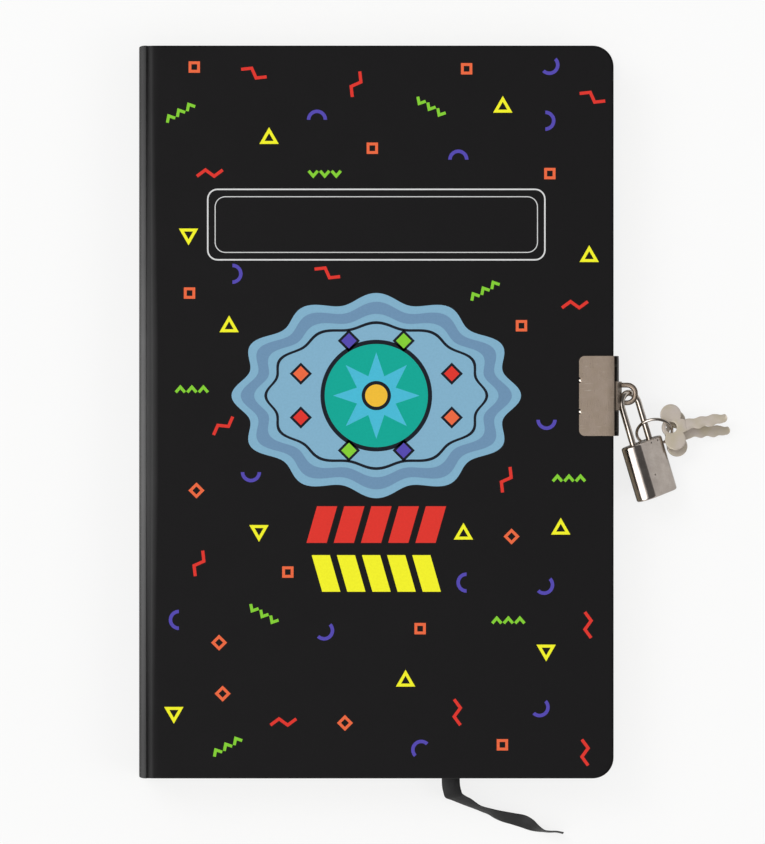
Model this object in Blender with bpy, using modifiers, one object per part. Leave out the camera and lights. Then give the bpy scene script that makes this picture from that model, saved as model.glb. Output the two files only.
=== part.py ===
# A pocket diary with a hard cover, two hasps and a small padlock on a ring of two keys.
# It lies closed on its back cover: X runs from the spine to the fore-edge, Y towards
# the head, Z up. The origin is the middle of the back cover's outer face.
import math
from math import cos, pi, radians, sin

import bmesh
import bpy
from mathutils import Matrix, Vector

mm = 0.001

# The closed book
book_width = 136 * mm        # spine face to fore-edge of the covers
book_height = 210 * mm       # head to tail of the covers
cover_corner = 6 * mm        # rounding of the two fore-edge corners
cover_square = 3 * mm        # how far the covers stand past the block

# The cover's layers
wrap_thickness = 0.3 * mm    # printed paper glued over the board
board_thickness = 1.8 * mm
paper_gap = 0.1 * mm         # between sheets that lie on each other
endpaper = 0.2 * mm
turn_in = 14 * mm            # wrap folded over onto the inside of the board
edge_round = 0.45 * mm       # soft edge of a wrapped board
cover_clearance = 0.3 * mm   # closed cover to the first leaf

# The spine and its joints
spine_depth = 2.4 * mm       # spine piece, outer face to groove
spine_round = 1.9 * mm
spine_inner_round = 0.6 * mm
spine_lip = 2 * mm           # wrap folded in behind the spine board
joint_start = 3.2 * mm       # spine face to the edge of each cover board
hinge_inset = 1.2 * mm       # fold line, in from the spine face and the cover face
block_inset = 3.6 * mm       # spine face to the folded backs of the sections

# The block of leaves
section_thickness = 0.9 * mm
sections_per_half = 4
leaf_thickness = 0.2 * mm
loose_leaves = 2             # single leaves on each side of the middle
lining_thickness = 0.3 * mm
lining_margin = 12 * mm
band_radius = 0.8 * mm

# The ribbon bookmark
ribbon_width = 5.4 * mm
ribbon_thickness = 0.2 * mm
ribbon_exit = 21.3 * mm      # its middle, where it leaves the tail of the block
ribbon_straight = 12 * mm
ribbon_drift = 1 * mm        # sideways, over that straight run
ribbon_glue = 2 * mm         # glued end, below the head of the block

# The hasps
hasp_middle = 4.6 * mm       # above the middle of the book
hasp_length = 22.9 * mm
hasp_reach = 9.9 * mm        # over the cover, in from the fore-edge
hasp_thickness = 0.5 * mm
hasp_stand = 0.2 * mm        # flange to the fore-edge
hasp_corner = 1.2 * mm
hasp_notch = 0.8 * mm
hasp_notch_spacing = 9 * mm
flange_drop = 3 * mm         # flange below the cover's outer face
tab_width = 8.3 * mm
tab_lap = 0.5 * mm           # tab and flange share this much, so that they join
loop_width = 6.5 * mm
loop_reach = 7.2 * mm        # past the fore-edge
loop_band = 1.4 * mm
loop_round = 3 * mm
loop_inner_round = 1.7 * mm
loop_root = 0.5 * mm         # metal between the flange and the loop's opening
loop_root_round = 0.4 * mm
loop_thickness = 0.8 * mm
loop_middle = 0.6 * mm       # above the hasp's own middle
front_loop_height = 9 * mm   # over the table
back_loop_height = 3.9 * mm
swing_line = 4 * mm          # past the fore-edge, where the shackle hangs in the loop

# The padlock, in its own frame: X across the case, Y to its back, Z to the shackle
case_width = 14.8 * mm
case_depth = 6.3 * mm
case_height = 16.2 * mm
case_round = 0.5 * mm
shackle_wire = 1.8 * mm
shackle_spacing = 7.4 * mm   # between the legs' middles
shackle_rise = 15.5 * mm     # case top to the outside of the bend
long_leg_depth = 9.2 * mm
short_leg_depth = 4.8 * mm
leg_clearance = 0.25 * mm
latch_depth = 3.2 * mm       # case top to the middle of the bolt
bolt_thickness = 0.8 * mm
bolt_width = 3.6 * mm
bolt_length = 3.5 * mm
bolt_nose_width = 1.2 * mm
bolt_travel = 0.8 * mm
bolt_clearance = 0.25 * mm
nose_way_inset = 0.05 * mm   # the nose's way is this much lower than the bolt's pocket
notch_depth = 0.6 * mm
notch_width = 3 * mm
plug_diameter = 4.4 * mm
plug_clearance = 0.15 * mm
plug_top = 2 * mm            # above the case's middle
plug_pin = 0.8 * mm
keyhole_width = 0.9 * mm
keyhole_length = 3 * mm
keyhole_depth = 5 * mm
base_thickness = 0.6 * mm
base_rim = 0.7 * mm
base_lip = 0.3 * mm          # the base holds the plug in by this much all round

# Where the padlock lies beside the book
lock_reach = 10.5 * mm       # fore-edge to the middle of the case
lock_hang = 20.9 * mm        # hasp's middle to the middle of the case
lock_drop = 1.65 * mm        # front hasp's loop to the middle of the case
lock_lean = radians(16.7)    # its foot turned away from the book
lock_slope = radians(4)      # shackle higher than the foot
lock_roll = radians(46)      # front face turned towards the fore-edge side

# The key ring, from the top of the case at the long leg, and the two keys
ring_radius = 5.1 * mm
ring_wire = 0.84 * mm
ring_offset = Vector((2.13, -0.71, 1.3)) * mm
ring_turn = radians(5.5)     # about the vertical
ring_tilt = radians(43.9)
key_thickness = 0.8 * mm
key_hole = 1.6 * mm          # radius
key_hole_sides = 24
key_lobe = 3 * mm            # radius of each lobe of the bow
key_lobe_spacing = 7.4 * mm
key_lobe_shift = 0.5 * mm    # lobes towards the tip, from the hole
key_lobe_back = 215          # degrees, where each lobe's arc starts behind the hole
key_lobe_front = -48         # degrees, where it meets the blade's shoulder
key_length = 16.4 * mm       # hole to tip
key_blade = 2.6 * mm
key_neck = 2.6 * mm
key_tooth = 0.7 * mm
key_teeth = 5
key_places = [               # ring angle, distance off the ring's line, heading, slope, roll
    (radians(13.1), 0 * mm, radians(10), radians(-2.7), radians(-6.3)),
    (radians(-13.3), 0.79 * mm, radians(3.1), radians(-10), radians(-6)),
]

# Heights that follow from the layers
board_inner = wrap_thickness + paper_gap + board_thickness
turn_in_inner = board_inner + paper_gap + wrap_thickness
cover_depth = turn_in_inner + paper_gap + endpaper
block_start = cover_depth + cover_clearance
section_step = section_thickness + paper_gap
leaf_step = leaf_thickness + paper_gap
sections_start = block_start + endpaper + paper_gap
ribbon_start = sections_start + sections_per_half * section_step
leaves_start = ribbon_start + ribbon_thickness + paper_gap
middle_height = leaves_start + loose_leaves * leaf_step
book_thickness = 2 * middle_height

overcut = 1 * mm             # how far a cutter runs past the face that it opens

# Places in plan
spine_face = -book_width / 2
fore_edge = book_width / 2
cover_start = spine_face + joint_start
block_back = spine_face + block_inset
block_fore = fore_edge - cover_square
block_half_height = book_height / 2 - cover_square
block_corner = cover_corner - cover_square
lining_start = block_back - paper_gap - lining_thickness
lock_middle = Vector((fore_edge + lock_reach, hasp_middle - lock_hang, front_loop_height - lock_drop))

colours = {
    "cover": ((0.014, 0.013, 0.014), 0.5, 0.0),
    "board": ((0.35, 0.31, 0.26), 0.9, 0.0),
    "paper": ((0.86, 0.84, 0.78), 0.8, 0.0),
    "cloth": ((0.7, 0.68, 0.62), 0.9, 0.0),
    "ribbon": ((0.012, 0.012, 0.013), 0.4, 0.0),
    "nickel": ((0.42, 0.38, 0.34), 0.3, 1.0),
    "brass": ((0.5, 0.45, 0.33), 0.35, 1.0),
}


def clear_scene():
    for old in list(bpy.data.objects):
        bpy.data.objects.remove(old, do_unlink=True)


def make_collection(name):
    collection = bpy.data.collections.new(name)
    bpy.context.scene.collection.children.link(collection)
    return collection


clear_scene()
parts = make_collection("secret_diary")
cutters = make_collection("cutters")


def finish(obj, colour):
    """Give a part its own material and put it with the parts."""
    tone, roughness, metallic = colours[colour]
    material = bpy.data.materials.new(obj.name)
    material.use_nodes = True
    shader = material.node_tree.nodes["Principled BSDF"]
    shader.inputs["Base Color"].default_value = (*tone, 1)
    shader.inputs["Roughness"].default_value = roughness
    shader.inputs["Metallic"].default_value = metallic
    obj.data.materials.clear()
    obj.data.materials.append(material)
    parts.objects.link(obj)
    return obj


def as_cutter(obj):
    cutters.objects.link(obj)
    obj.hide_render = True
    obj.display_type = "WIRE"
    return obj


def mesh_from_curve(name, curve, place):
    """Turn a curve into a welded mesh that keeps the curve's place."""
    source = bpy.data.objects.new(name + "_curve", curve)
    source.matrix_world = place
    bpy.context.scene.collection.objects.link(source)
    depsgraph = bpy.context.evaluated_depsgraph_get()
    mesh = bpy.data.meshes.new_from_object(source.evaluated_get(depsgraph))
    bpy.data.objects.remove(source, do_unlink=True)
    shape = bmesh.new()
    shape.from_mesh(mesh)
    bmesh.ops.remove_doubles(shape, verts=shape.verts, dist=0.001 * mm)
    bmesh.ops.recalc_face_normals(shape, faces=shape.faces)
    shape.to_mesh(mesh)
    shape.free()
    obj = bpy.data.objects.new(name, mesh)
    obj.matrix_world = place
    return obj


def plate(name, outlines, low, high, place=Matrix()):
    """A flat outline, with any holes, between two heights of its own frame."""
    curve = bpy.data.curves.new(name, "CURVE")
    curve.dimensions = "2D"
    curve.fill_mode = "BOTH"
    curve.extrude = (high - low) / 2
    for outline in outlines:
        spline = curve.splines.new("POLY")
        spline.points.add(len(outline) - 1)
        spline.use_cyclic_u = True
        for point, (x, y) in zip(spline.points, outline):
            point.co = (x, y, 0, 1)
    return mesh_from_curve(name, curve, place @ Matrix.Translation((0, 0, (low + high) / 2)))


def wire(name, path, radius, place=Matrix(), resolution=3):
    """A round wire along a path, with filled ends."""
    curve = bpy.data.curves.new(name, "CURVE")
    curve.dimensions = "3D"
    curve.bevel_depth = radius
    curve.bevel_resolution = resolution
    curve.use_fill_caps = True
    spline = curve.splines.new("POLY")
    spline.points.add(len(path) - 1)
    for point, place_of in zip(spline.points, path):
        point.co = (*place_of, 1)
    return mesh_from_curve(name, curve, place)


def cylinder(name, radius, low, high, place=Matrix(), x=0.0, y=0.0, sides=24):
    shape = bmesh.new()
    bmesh.ops.create_cone(shape, cap_ends=True, segments=sides, radius1=radius, radius2=radius,
                          depth=high - low,
                          matrix=Matrix.Translation((x, y, (low + high) / 2)))
    mesh = bpy.data.meshes.new(name)
    shape.to_mesh(mesh)
    shape.free()
    obj = bpy.data.objects.new(name, mesh)
    obj.matrix_world = place
    return obj


def box(name, x, y, z, place=Matrix()):
    """A box from three pairs of limits."""
    return plate(name, [[(x[0], y[0]), (x[1], y[0]), (x[1], y[1]), (x[0], y[1])]], z[0], z[1], place)


def combine(target, tool, operation="DIFFERENCE"):
    as_cutter(tool)
    modifier = target.modifiers.new(tool.name, "BOOLEAN")
    modifier.operation = operation
    modifier.solver = "EXACT"
    modifier.object = tool


def soften(obj, width, segments=2):
    bevel = obj.modifiers.new("edge", "BEVEL")
    bevel.width = width
    bevel.segments = segments
    bevel.limit_method = "ANGLE"
    bevel.angle_limit = radians(50)


def smooth(obj):
    obj.data.shade_smooth()
    obj.data.set_sharp_from_angle(angle=radians(40))


def arc(x, y, radius, start, end, steps):
    """Points along an arc about (x, y), with angles in degrees."""
    angles = [radians(start + (end - start) * k / steps) for k in range(steps + 1)]
    return [(x + radius * cos(a), y + radius * sin(a)) for a in angles]


def rounded(x0, x1, y0, y1, left, right, steps=6):
    """A rectangle with one radius at its left corners and one at its right."""
    def corner(x, y, radius, start):
        if radius < 0.05 * mm:
            return [(x, y)]
        dx = radius if start in (180, 90) else -radius
        dy = radius if start in (180, 270) else -radius
        return arc(x + dx, y + dy, radius, start, start + 90, steps)
    return (corner(x0, y0, left, 180) + corner(x1, y0, right, 270)
            + corner(x1, y1, right, 0) + corner(x0, y1, left, 90))


def stadium(half_length, half_depth, steps=10):
    """A flat-sided outline with two round ends."""
    middle = half_length - half_depth
    return arc(middle, 0, half_depth, -90, 90, steps) + arc(-middle, 0, half_depth, 90, 270, steps)


def strip(points, width):
    """The outline of a flat strip of even width along a bent line."""
    left, right = [], []
    for k, point in enumerate(points):
        before = Vector(points[max(k - 1, 0)])
        after = Vector(points[min(k + 1, len(points) - 1)])
        along = (after - before).normalized()
        side = Vector((-along.y, along.x)) * width / 2
        left.append(tuple(Vector(point) + side))
        right.append(tuple(Vector(point) - side))
    return left + right[::-1]


def axis_empty(name, place):
    """An empty on a joint's axis, which carries the pieces that move there."""
    empty = bpy.data.objects.new(name, None)
    empty.empty_display_size = 5 * mm
    empty.matrix_world = place
    bpy.context.scene.collection.objects.link(empty)
    return empty


def carry(empty, pieces):
    for piece in pieces:
        world = piece.matrix_world.copy()
        piece.parent = empty
        piece.matrix_parent_inverse = empty.matrix_world.inverted()
        piece.matrix_world = world


def height(side, depth):
    """The height of a point at this depth below the back (-1) or front (+1) cover's face."""
    return depth if side < 0 else book_thickness - depth


def span(side, near, far):
    """Lower and upper height of a layer between two such depths."""
    return sorted((height(side, near), height(side, far)))


# Cover: a printed wrap folded round a board and closed inside by the pastedown


def cover_outline(inset, joint_inset):
    return rounded(cover_start + joint_inset, fore_edge - inset,
                   -book_height / 2 + inset, book_height / 2 - inset,
                   0, max(cover_corner - inset, 0))


def make_cover(side, name):
    wrap = plate(name + "_wrap", [cover_outline(0, 0)], *span(side, 0, turn_in_inner))
    soften(wrap, edge_round)
    hollow = plate(name + "_hollow", [cover_outline(wrap_thickness, wrap_thickness)],
                   *span(side, wrap_thickness, board_inner + paper_gap))
    combine(wrap, hollow)
    window = plate(name + "_window", [cover_outline(turn_in, turn_in)],
                   *span(side, board_inner, turn_in_inner + overcut))
    combine(wrap, window)
    inset = wrap_thickness + paper_gap
    core = plate(name + "_board", [cover_outline(inset, inset)],
                 *span(side, wrap_thickness + paper_gap, board_inner))
    sheet = plate(name + "_pastedown", [cover_outline(cover_square, paper_gap)],
                  *span(side, turn_in_inner + paper_gap, cover_depth))
    return [finish(wrap, "cover"), finish(core, "board"), finish(sheet, "paper")]


# Spine: a strip of board in the same wrap, between the two joints

upright = Matrix(((1, 0, 0, 0), (0, 0, -1, 0), (0, 1, 0, 0), (0, 0, 0, 1)))


def spine_outline(inset):
    return rounded(spine_face + inset, spine_face + spine_depth - inset,
                   inset, book_thickness - inset,
                   spine_round - inset, spine_inner_round - inset / 2, 4)


def make_spine():
    half = book_height / 2
    wrap = plate("spine_wrap", [spine_outline(0)], -half, half, upright)
    hollow = plate("spine_hollow", [spine_outline(wrap_thickness)],
                   -half + wrap_thickness, half - wrap_thickness, upright)
    combine(wrap, hollow)
    window = box("spine_window", (spine_face + spine_depth / 2, spine_face + spine_depth + overcut),
                 (-half + spine_lip, half - spine_lip), (spine_lip, book_thickness - spine_lip))
    combine(wrap, window)
    inset = wrap_thickness + paper_gap
    core = plate("spine_board", [spine_outline(inset)], -half + inset, half - inset, upright)
    smooth(wrap)
    return [finish(wrap, "cover"), finish(core, "board")]


# Block: folded sections and single leaves, in two halves that part at the middle


def leaf_outline():
    return rounded(block_back, block_fore, -block_half_height, block_half_height, 0, block_corner)


def make_section(name, side, depth):
    """A gathering of folded sheets, round along its fold at the spine."""
    section = plate(name, [leaf_outline()], *span(side, depth, depth + section_thickness))
    mesh = section.data
    weights = mesh.attributes.new("bevel_weight_edge", "FLOAT", "EDGE")
    for edge in mesh.edges:
        ends = [mesh.vertices[v].co for v in edge.vertices]
        at_fold = all(abs(end.x - block_back) < 0.01 * mm for end in ends)
        along = abs(ends[0].y - ends[1].y) > block_half_height
        weights.data[edge.index].value = 1.0 if at_fold and along else 0.0
    fold = section.modifiers.new("fold", "BEVEL")
    fold.width = 0.45 * section_thickness
    fold.segments = 3
    fold.limit_method = "WEIGHT"
    return finish(section, "paper")


def make_half_block(side, word, first_section):
    flyleaf = plate(word + "_flyleaf", [leaf_outline()],
                    *span(side, block_start, block_start + endpaper))
    pieces = [finish(flyleaf, "paper")]
    for k in range(sections_per_half):
        name = f"section_{first_section + (k if side < 0 else sections_per_half - 1 - k)}"
        pieces.append(make_section(name, side, sections_start + k * section_step))
    low, high = span(side, block_start, ribbon_start - paper_gap)
    lining = box("spine_lining_" + word, (lining_start, lining_start + lining_thickness),
                 (-block_half_height + lining_margin, block_half_height - lining_margin),
                 (low, high))
    pieces.append(finish(lining, "cloth"))
    reach = block_half_height + paper_gap + band_radius
    for end, y in (("head", reach), ("tail", -reach)):
        band = cylinder(f"{end}_band_{word}", band_radius, low, high,
                        x=block_back + band_radius, y=y, sides=14)
        smooth(band)
        pieces.append(finish(band, "cloth"))
    return pieces


def make_leaf(number):
    """A single leaf. Leaves count upwards from the back half's last section."""
    if number <= loose_leaves:
        low, high = span(-1, leaves_start + (number - 1) * leaf_step,
                         leaves_start + (number - 1) * leaf_step + leaf_thickness)
    else:
        depth = leaves_start + (2 * loose_leaves - number) * leaf_step
        low, high = span(1, depth, depth + leaf_thickness)
    return finish(plate(f"leaf_{number}", [leaf_outline()], low, high), "paper")


# Ribbon: glued at the head of the spine, laid across the page and out at the tail


def make_ribbon():
    path = [(block_back + ribbon_width / 2, block_half_height - ribbon_glue),
            (ribbon_exit - ribbon_drift, -block_half_height + ribbon_straight),
            (ribbon_exit, -block_half_height + ribbon_straight / 3),
            (ribbon_exit, -block_half_height)]
    inner = plate("ribbon_inner", [strip(path, ribbon_width)],
                  ribbon_start, ribbon_start + ribbon_thickness)
    return finish(inner, "ribbon")


ribbon_path = [  # free end: middle in mm, then its width line's heading and lean, in degrees
    (21.3, -102.1, 7.6, 0, 0), (21.4, -105.1, 7.6, 0, 0), (21.5, -107.5, 7.2, 3, 2),
    (21.9, -109.4, 6.5, 6, 4), (22.4, -110.6, 5.5, 11, 12), (23.9, -111.4, 4.5, 16, 36),
    (25.8, -112.3, 3.5, 27, 51), (27.7, -113.3, 2.7, 40, 64), (29.3, -114.1, 2.3, 56, 71),
    (30.8, -114.7, 2.3, 70, 71), (32.6, -115.3, 2.2, 76, 68), (34.5, -116.1, 2.0, 76, 60),
    (36.8, -116.8, 1.9, 74, 53), (39.4, -117.4, 1.8, 72, 49), (42.2, -118.1, 1.6, 71, 44),
    (44.5, -119.1, 1.8, 73, 50), (46.5, -120.2, 2.2, 76, 68), (48.3, -120.9, 2.4, 80, 81),
    (50.0, -121.1, 2.4, 86, 83), (51.9, -121.1, 2.4, 87, 84), (53.9, -121.5, 2.4, 80, 83),
]


def make_ribbon_tail():
    """A flat ribbon laid over the stations of its path."""
    shape = bmesh.new()
    rings = []
    for k, (*middle, heading, lean) in enumerate(ribbon_path):
        heading, lean = radians(heading), radians(lean)
        wide = Vector((cos(lean) * cos(heading), cos(lean) * sin(heading), sin(lean)))
        before = Vector(ribbon_path[max(k - 1, 0)][:3])
        after = Vector(ribbon_path[min(k + 1, len(ribbon_path) - 1)][:3])
        across = wide * ribbon_width / 2
        through = wide.cross(after - before).normalized() * ribbon_thickness / 2
        centre = Vector(middle) * mm
        rings.append([shape.verts.new(centre + corner) for corner in (
            -across - through, across - through, across + through, through - across)])
    for near, far in zip(rings, rings[1:]):
        for k in range(4):
            shape.faces.new((near[k], near[k - 1], far[k - 1], far[k]))
    shape.faces.new(rings[0])
    shape.faces.new(rings[-1][::-1])
    bmesh.ops.triangulate(shape, faces=shape.faces)
    bmesh.ops.recalc_face_normals(shape, faces=shape.faces)
    mesh = bpy.data.meshes.new("ribbon_tail")
    shape.to_mesh(mesh)
    shape.free()
    return finish(bpy.data.objects.new("ribbon_tail", mesh), "ribbon")


# Hasp: one stamped plate, bent over the fore-edge, with a flat loop standing out

sideways = Matrix(((0, 0, 1, 0), (1, 0, 0, 0), (0, 1, 0, 0), (0, 0, 0, 1)))


def make_hasp(side, name, loop_height):
    top, bottom = hasp_middle + hasp_length / 2, hasp_middle - hasp_length / 2
    left = fore_edge - hasp_reach
    flange = (fore_edge + hasp_stand, fore_edge + hasp_stand + hasp_thickness)
    lift = (-paper_gap - hasp_thickness, -paper_gap)
    plan = rounded(left, flange[1], bottom, top, hasp_corner, 0, 4)
    hasp = plate(name, [plan], *span(side, *lift))
    wide = box(name + "_flange", flange, (bottom, top), span(side, lift[0], flange_drop))
    combine(hasp, wide, "UNION")
    loop_far = loop_height - side * loop_thickness / 2
    tab = box(name + "_tab", flange, (hasp_middle - tab_width / 2, hasp_middle + tab_width / 2),
              sorted((height(side, flange_drop - tab_lap), loop_far)))
    combine(hasp, tab, "UNION")
    middle = hasp_middle + loop_middle
    ring = [rounded(flange[0] + hasp_thickness / 4, fore_edge + loop_reach,
                    middle - loop_width / 2, middle + loop_width / 2, 0, loop_round),
            rounded(flange[1] + loop_root, fore_edge + loop_reach - loop_band,
                    middle - loop_width / 2 + loop_band, middle + loop_width / 2 - loop_band,
                    loop_root_round, loop_inner_round)]
    combine(hasp, plate(name + "_loop", ring, loop_height - loop_thickness / 2,
                        loop_height + loop_thickness / 2), "UNION")
    for k, offset in enumerate((-hasp_notch_spacing / 2, hasp_notch_spacing / 2)):
        notch = cylinder(f"{name}_notch_{k}", hasp_notch,
                         *span(side, lift[0] - overcut, -paper_gap / 2),
                         x=left, y=hasp_middle + offset, sides=16)
        combine(hasp, notch)
    return finish(hasp, "nickel")


# Padlock: every piece is drawn upright in the lock's own frame and laid down with it


def lock_frame():
    up = Vector((0, 0, 1))
    plan = Matrix.Rotation(lock_lean, 3, "Z")
    along = plan @ Vector((0, 1, 0)) * cos(lock_slope) + up * sin(lock_slope)
    across = plan @ Vector((1, 0, 0))
    across = Matrix.Rotation(lock_roll, 3, along) @ across
    back = along.cross(across)
    frame = Matrix((across, back, along)).transposed().to_4x4()
    return Matrix.Translation(lock_middle) @ frame


case_top = case_height / 2
leg_x = shackle_spacing / 2
wire_radius = shackle_wire / 2
bend_height = case_top + shackle_rise - wire_radius - leg_x
latch_height = case_top - latch_depth
leg_inner = leg_x - wire_radius


def make_shackle(lock):
    bend = [(leg_x * cos(a), 0, bend_height + leg_x * sin(a))
            for a in (pi * (1 - k / 12) for k in range(13))]
    path = [(-leg_x, 0, case_top - short_leg_depth)] + bend + [(leg_x, 0, case_top - long_leg_depth)]
    shackle = wire("shackle", path, wire_radius, lock)
    reach = bolt_thickness / 2 + bolt_clearance
    notch = box("shackle_notch", (-leg_inner - notch_depth, -leg_inner + overcut),
                (-notch_width / 2, notch_width / 2),
                (latch_height - reach, latch_height + reach), lock)
    combine(shackle, notch)
    smooth(shackle)
    return finish(shackle, "nickel")


nose_tip = -leg_inner + bolt_travel / 2
plate_start = nose_tip + bolt_travel
plate_end = plate_start + bolt_length


def make_case(lock):
    case = plate("lock_case", [stadium(case_width / 2, case_depth / 2)], -case_top, case_top, lock)
    soften(case, case_round)
    bore = wire_radius + leg_clearance
    combine(case, cylinder("long_bore", bore, case_top - long_leg_depth - leg_clearance,
                           case_top + overcut, lock, x=leg_x))
    combine(case, cylinder("short_bore", bore, case_top - short_leg_depth - leg_clearance,
                           case_top + overcut, lock, x=-leg_x))
    combine(case, plate("base_recess",
                        [stadium(case_width / 2 - base_rim, case_depth / 2 - base_rim)],
                        -case_top - overcut, -case_top + base_thickness + paper_gap, lock))
    combine(case, cylinder("plug_bore", plug_diameter / 2 + plug_clearance,
                           -case_top, plug_top + plug_clearance, lock))
    reach = bolt_thickness / 2 + bolt_clearance
    combine(case, cylinder("pin_way", bolt_travel + plug_pin / 2 + bolt_clearance,
                           plug_top, latch_height, lock))
    combine(case, box("bolt_pocket", (plate_start - bolt_travel - bolt_clearance,
                                      plate_end + bolt_clearance),
                      (-bolt_width / 2 - bolt_clearance, bolt_width / 2 + bolt_clearance),
                      (latch_height - reach, latch_height + reach), lock))
    nose = bolt_nose_width / 2 + bolt_clearance
    combine(case, box("nose_way", (-leg_x, plate_start), (-nose, nose),
                      (latch_height - reach + nose_way_inset,
                       latch_height + reach - nose_way_inset), lock))
    smooth(case)
    base = plate("lock_base", [stadium(case_width / 2 - base_rim - paper_gap,
                                       case_depth / 2 - base_rim - paper_gap)],
                 -case_top, -case_top + base_thickness, lock)
    combine(base, cylinder("base_hole", plug_diameter / 2 - base_lip,
                           -case_top - overcut, -case_top + base_thickness + overcut, lock))
    return [finish(case, "nickel"), finish(base, "nickel")]


def make_plug(lock):
    """The barrel that the key turns, with an off-centre pin that drives the bolt."""
    start = -case_top + base_thickness + paper_gap
    plug = cylinder("key_plug", plug_diameter / 2, start, plug_top, lock)
    pin = cylinder("plug_pin", plug_pin / 2, plug_top - overcut,
                   latch_height + bolt_thickness / 2, lock, x=bolt_travel, sides=12)
    combine(plug, pin, "UNION")
    keyhole = box("keyhole", (-keyhole_width / 2, keyhole_width / 2),
                  (-keyhole_length / 2, keyhole_length / 2),
                  (start - overcut, start + keyhole_depth), lock)
    combine(plug, keyhole)
    return finish(plug, "brass")


def make_bolt(lock):
    """A flat bolt: its slot follows the plug's pin and its nose enters the short leg."""
    low, high = latch_height - bolt_thickness / 2, latch_height + bolt_thickness / 2
    half = bolt_width / 2
    nose = bolt_nose_width / 2
    outline = [(nose_tip, -nose), (plate_start, -nose), (plate_start, -half), (plate_end, -half),
               (plate_end, half), (plate_start, half), (plate_start, nose), (nose_tip, nose)]
    bolt = plate("locking_bolt", [outline], low, high, lock)
    way = plug_pin / 2 + bolt_clearance
    slot = box("bolt_slot", (bolt_travel - way, bolt_travel + way),
               (-way, bolt_travel + way), (low - overcut, high + overcut), lock)
    combine(bolt, slot)
    return finish(bolt, "brass")


# Keys: cut from sheet, two round lobes for the bow, and a toothed blade


def ring_frame(lock):
    place = lock @ Vector((leg_x + ring_offset.x, ring_offset.y, case_top + ring_offset.z))
    turn = Matrix.Rotation(ring_turn, 4, "Z") @ Matrix.Rotation(ring_tilt, 4, "X")
    return Matrix.Translation(place) @ turn


def key_frame(ring, angle, offset, heading, slope, roll):
    """A key hangs with its hole round the ring's wire, a little out from the ring's line."""
    on_ring = ring @ (Vector((cos(angle), sin(angle), 0)) * (ring_radius + offset))
    turn = (Matrix.Rotation(heading, 4, "Z") @ Matrix.Rotation(-slope, 4, "Y")
            @ Matrix.Rotation(roll, 4, "X"))
    return Matrix.Translation(on_ring) @ turn


def key_outline():
    lobe_y = key_lobe_spacing / 2
    upper = arc(key_lobe_shift, lobe_y, key_lobe, key_lobe_back, key_lobe_front, 12)
    lower = arc(key_lobe_shift, -lobe_y, key_lobe, -key_lobe_front, -key_lobe_back, 12)
    half = key_blade / 2
    shoulder = key_hole + key_neck
    back = [(shoulder, half), (key_length - half, half), (key_length, 0)]
    teeth = []
    pitch = (key_length - shoulder - half) / (2 * key_teeth)
    for k in range(2 * key_teeth):
        x = key_length - half / 2 - k * pitch
        depth = half - key_tooth if k % 2 else half
        teeth += [(x, -depth), (x - 0.7 * pitch, -depth)]
    return upper + back + teeth + [(shoulder, -half)] + lower


def make_key(name, place):
    step = 360 / key_hole_sides
    hole = arc(0, 0, key_hole, 0, 360 - step, key_hole_sides - 1)
    key = plate(name, [key_outline(), hole], -key_thickness / 2, key_thickness / 2, place)
    return finish(key, "brass")


def make_ring(place):
    bpy.ops.mesh.primitive_torus_add(major_radius=ring_radius, minor_radius=ring_wire / 2,
                                     major_segments=36, minor_segments=8)
    ring = bpy.context.object
    ring.name = "key_ring"
    for collection in list(ring.users_collection):
        collection.objects.unlink(ring)
    ring.matrix_world = place
    smooth(ring)
    return finish(ring, "nickel")


def build():
    back = make_cover(-1, "back")
    front = make_cover(1, "front")
    spine = make_spine()
    make_half_block(-1, "back", 1)
    upper = make_half_block(1, "front", sections_per_half + 1)
    leaves = [make_leaf(k + 1) for k in range(2 * loose_leaves)]
    make_ribbon()
    make_ribbon_tail()
    make_hasp(-1, "back_hasp", back_loop_height)
    front.append(make_hasp(1, "front_hasp", front_loop_height))
    lock = lock_frame()
    shackle = make_shackle(lock)
    case = make_case(lock)
    plug = make_plug(lock)
    bolt = make_bolt(lock)
    ring_place = ring_frame(lock)
    ring = make_ring(ring_place)

    fold = spine_face + hinge_inset
    spine_axis = axis_empty("spine_axis", Matrix.Translation((fold, 0, hinge_inset)))
    front_axis = axis_empty("front_axis",
                            Matrix.Translation((fold, 0, book_thickness - hinge_inset)))
    page_axis = axis_empty("page_axis",
                           Matrix.Translation((lining_start - paper_gap, 0, middle_height)))
    bar = (fore_edge + swing_line, hasp_middle + loop_middle - loop_width / 2 + loop_band / 2,
           front_loop_height)
    swing_axis = axis_empty("swing_axis", Matrix.Translation(bar))
    lock_axis = axis_empty("lock_axis", lock)
    ring_axis = axis_empty("ring_axis", lock @ Matrix.Translation((leg_x, 0, case_top)))
    carry(spine_axis, spine + [front_axis])
    carry(front_axis, front + [swing_axis])
    carry(page_axis, upper + leaves)
    carry(swing_axis, [shackle, lock_axis, ring_axis])
    carry(lock_axis, case + [plug, bolt])
    carry(ring_axis, [ring])
    for k, key_place in enumerate(key_places):
        place = key_frame(ring_place, *key_place)
        key_axis = axis_empty(f"key_{k + 1}_axis", place)
        carry(ring_axis, [key_axis])
        carry(key_axis, [make_key(f"key_{k + 1}", place)])


build()
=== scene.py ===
# Dresses a lockable hardcover diary: laminated printed cover, paper block, ribbon, nickel hasps,
# small padlock and keys. Lengths in the dictionaries are millimetres.
from math import cos, pi, radians, sin

import bmesh
import bpy
import numpy as np
from mathutils import Matrix, Vector


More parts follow.
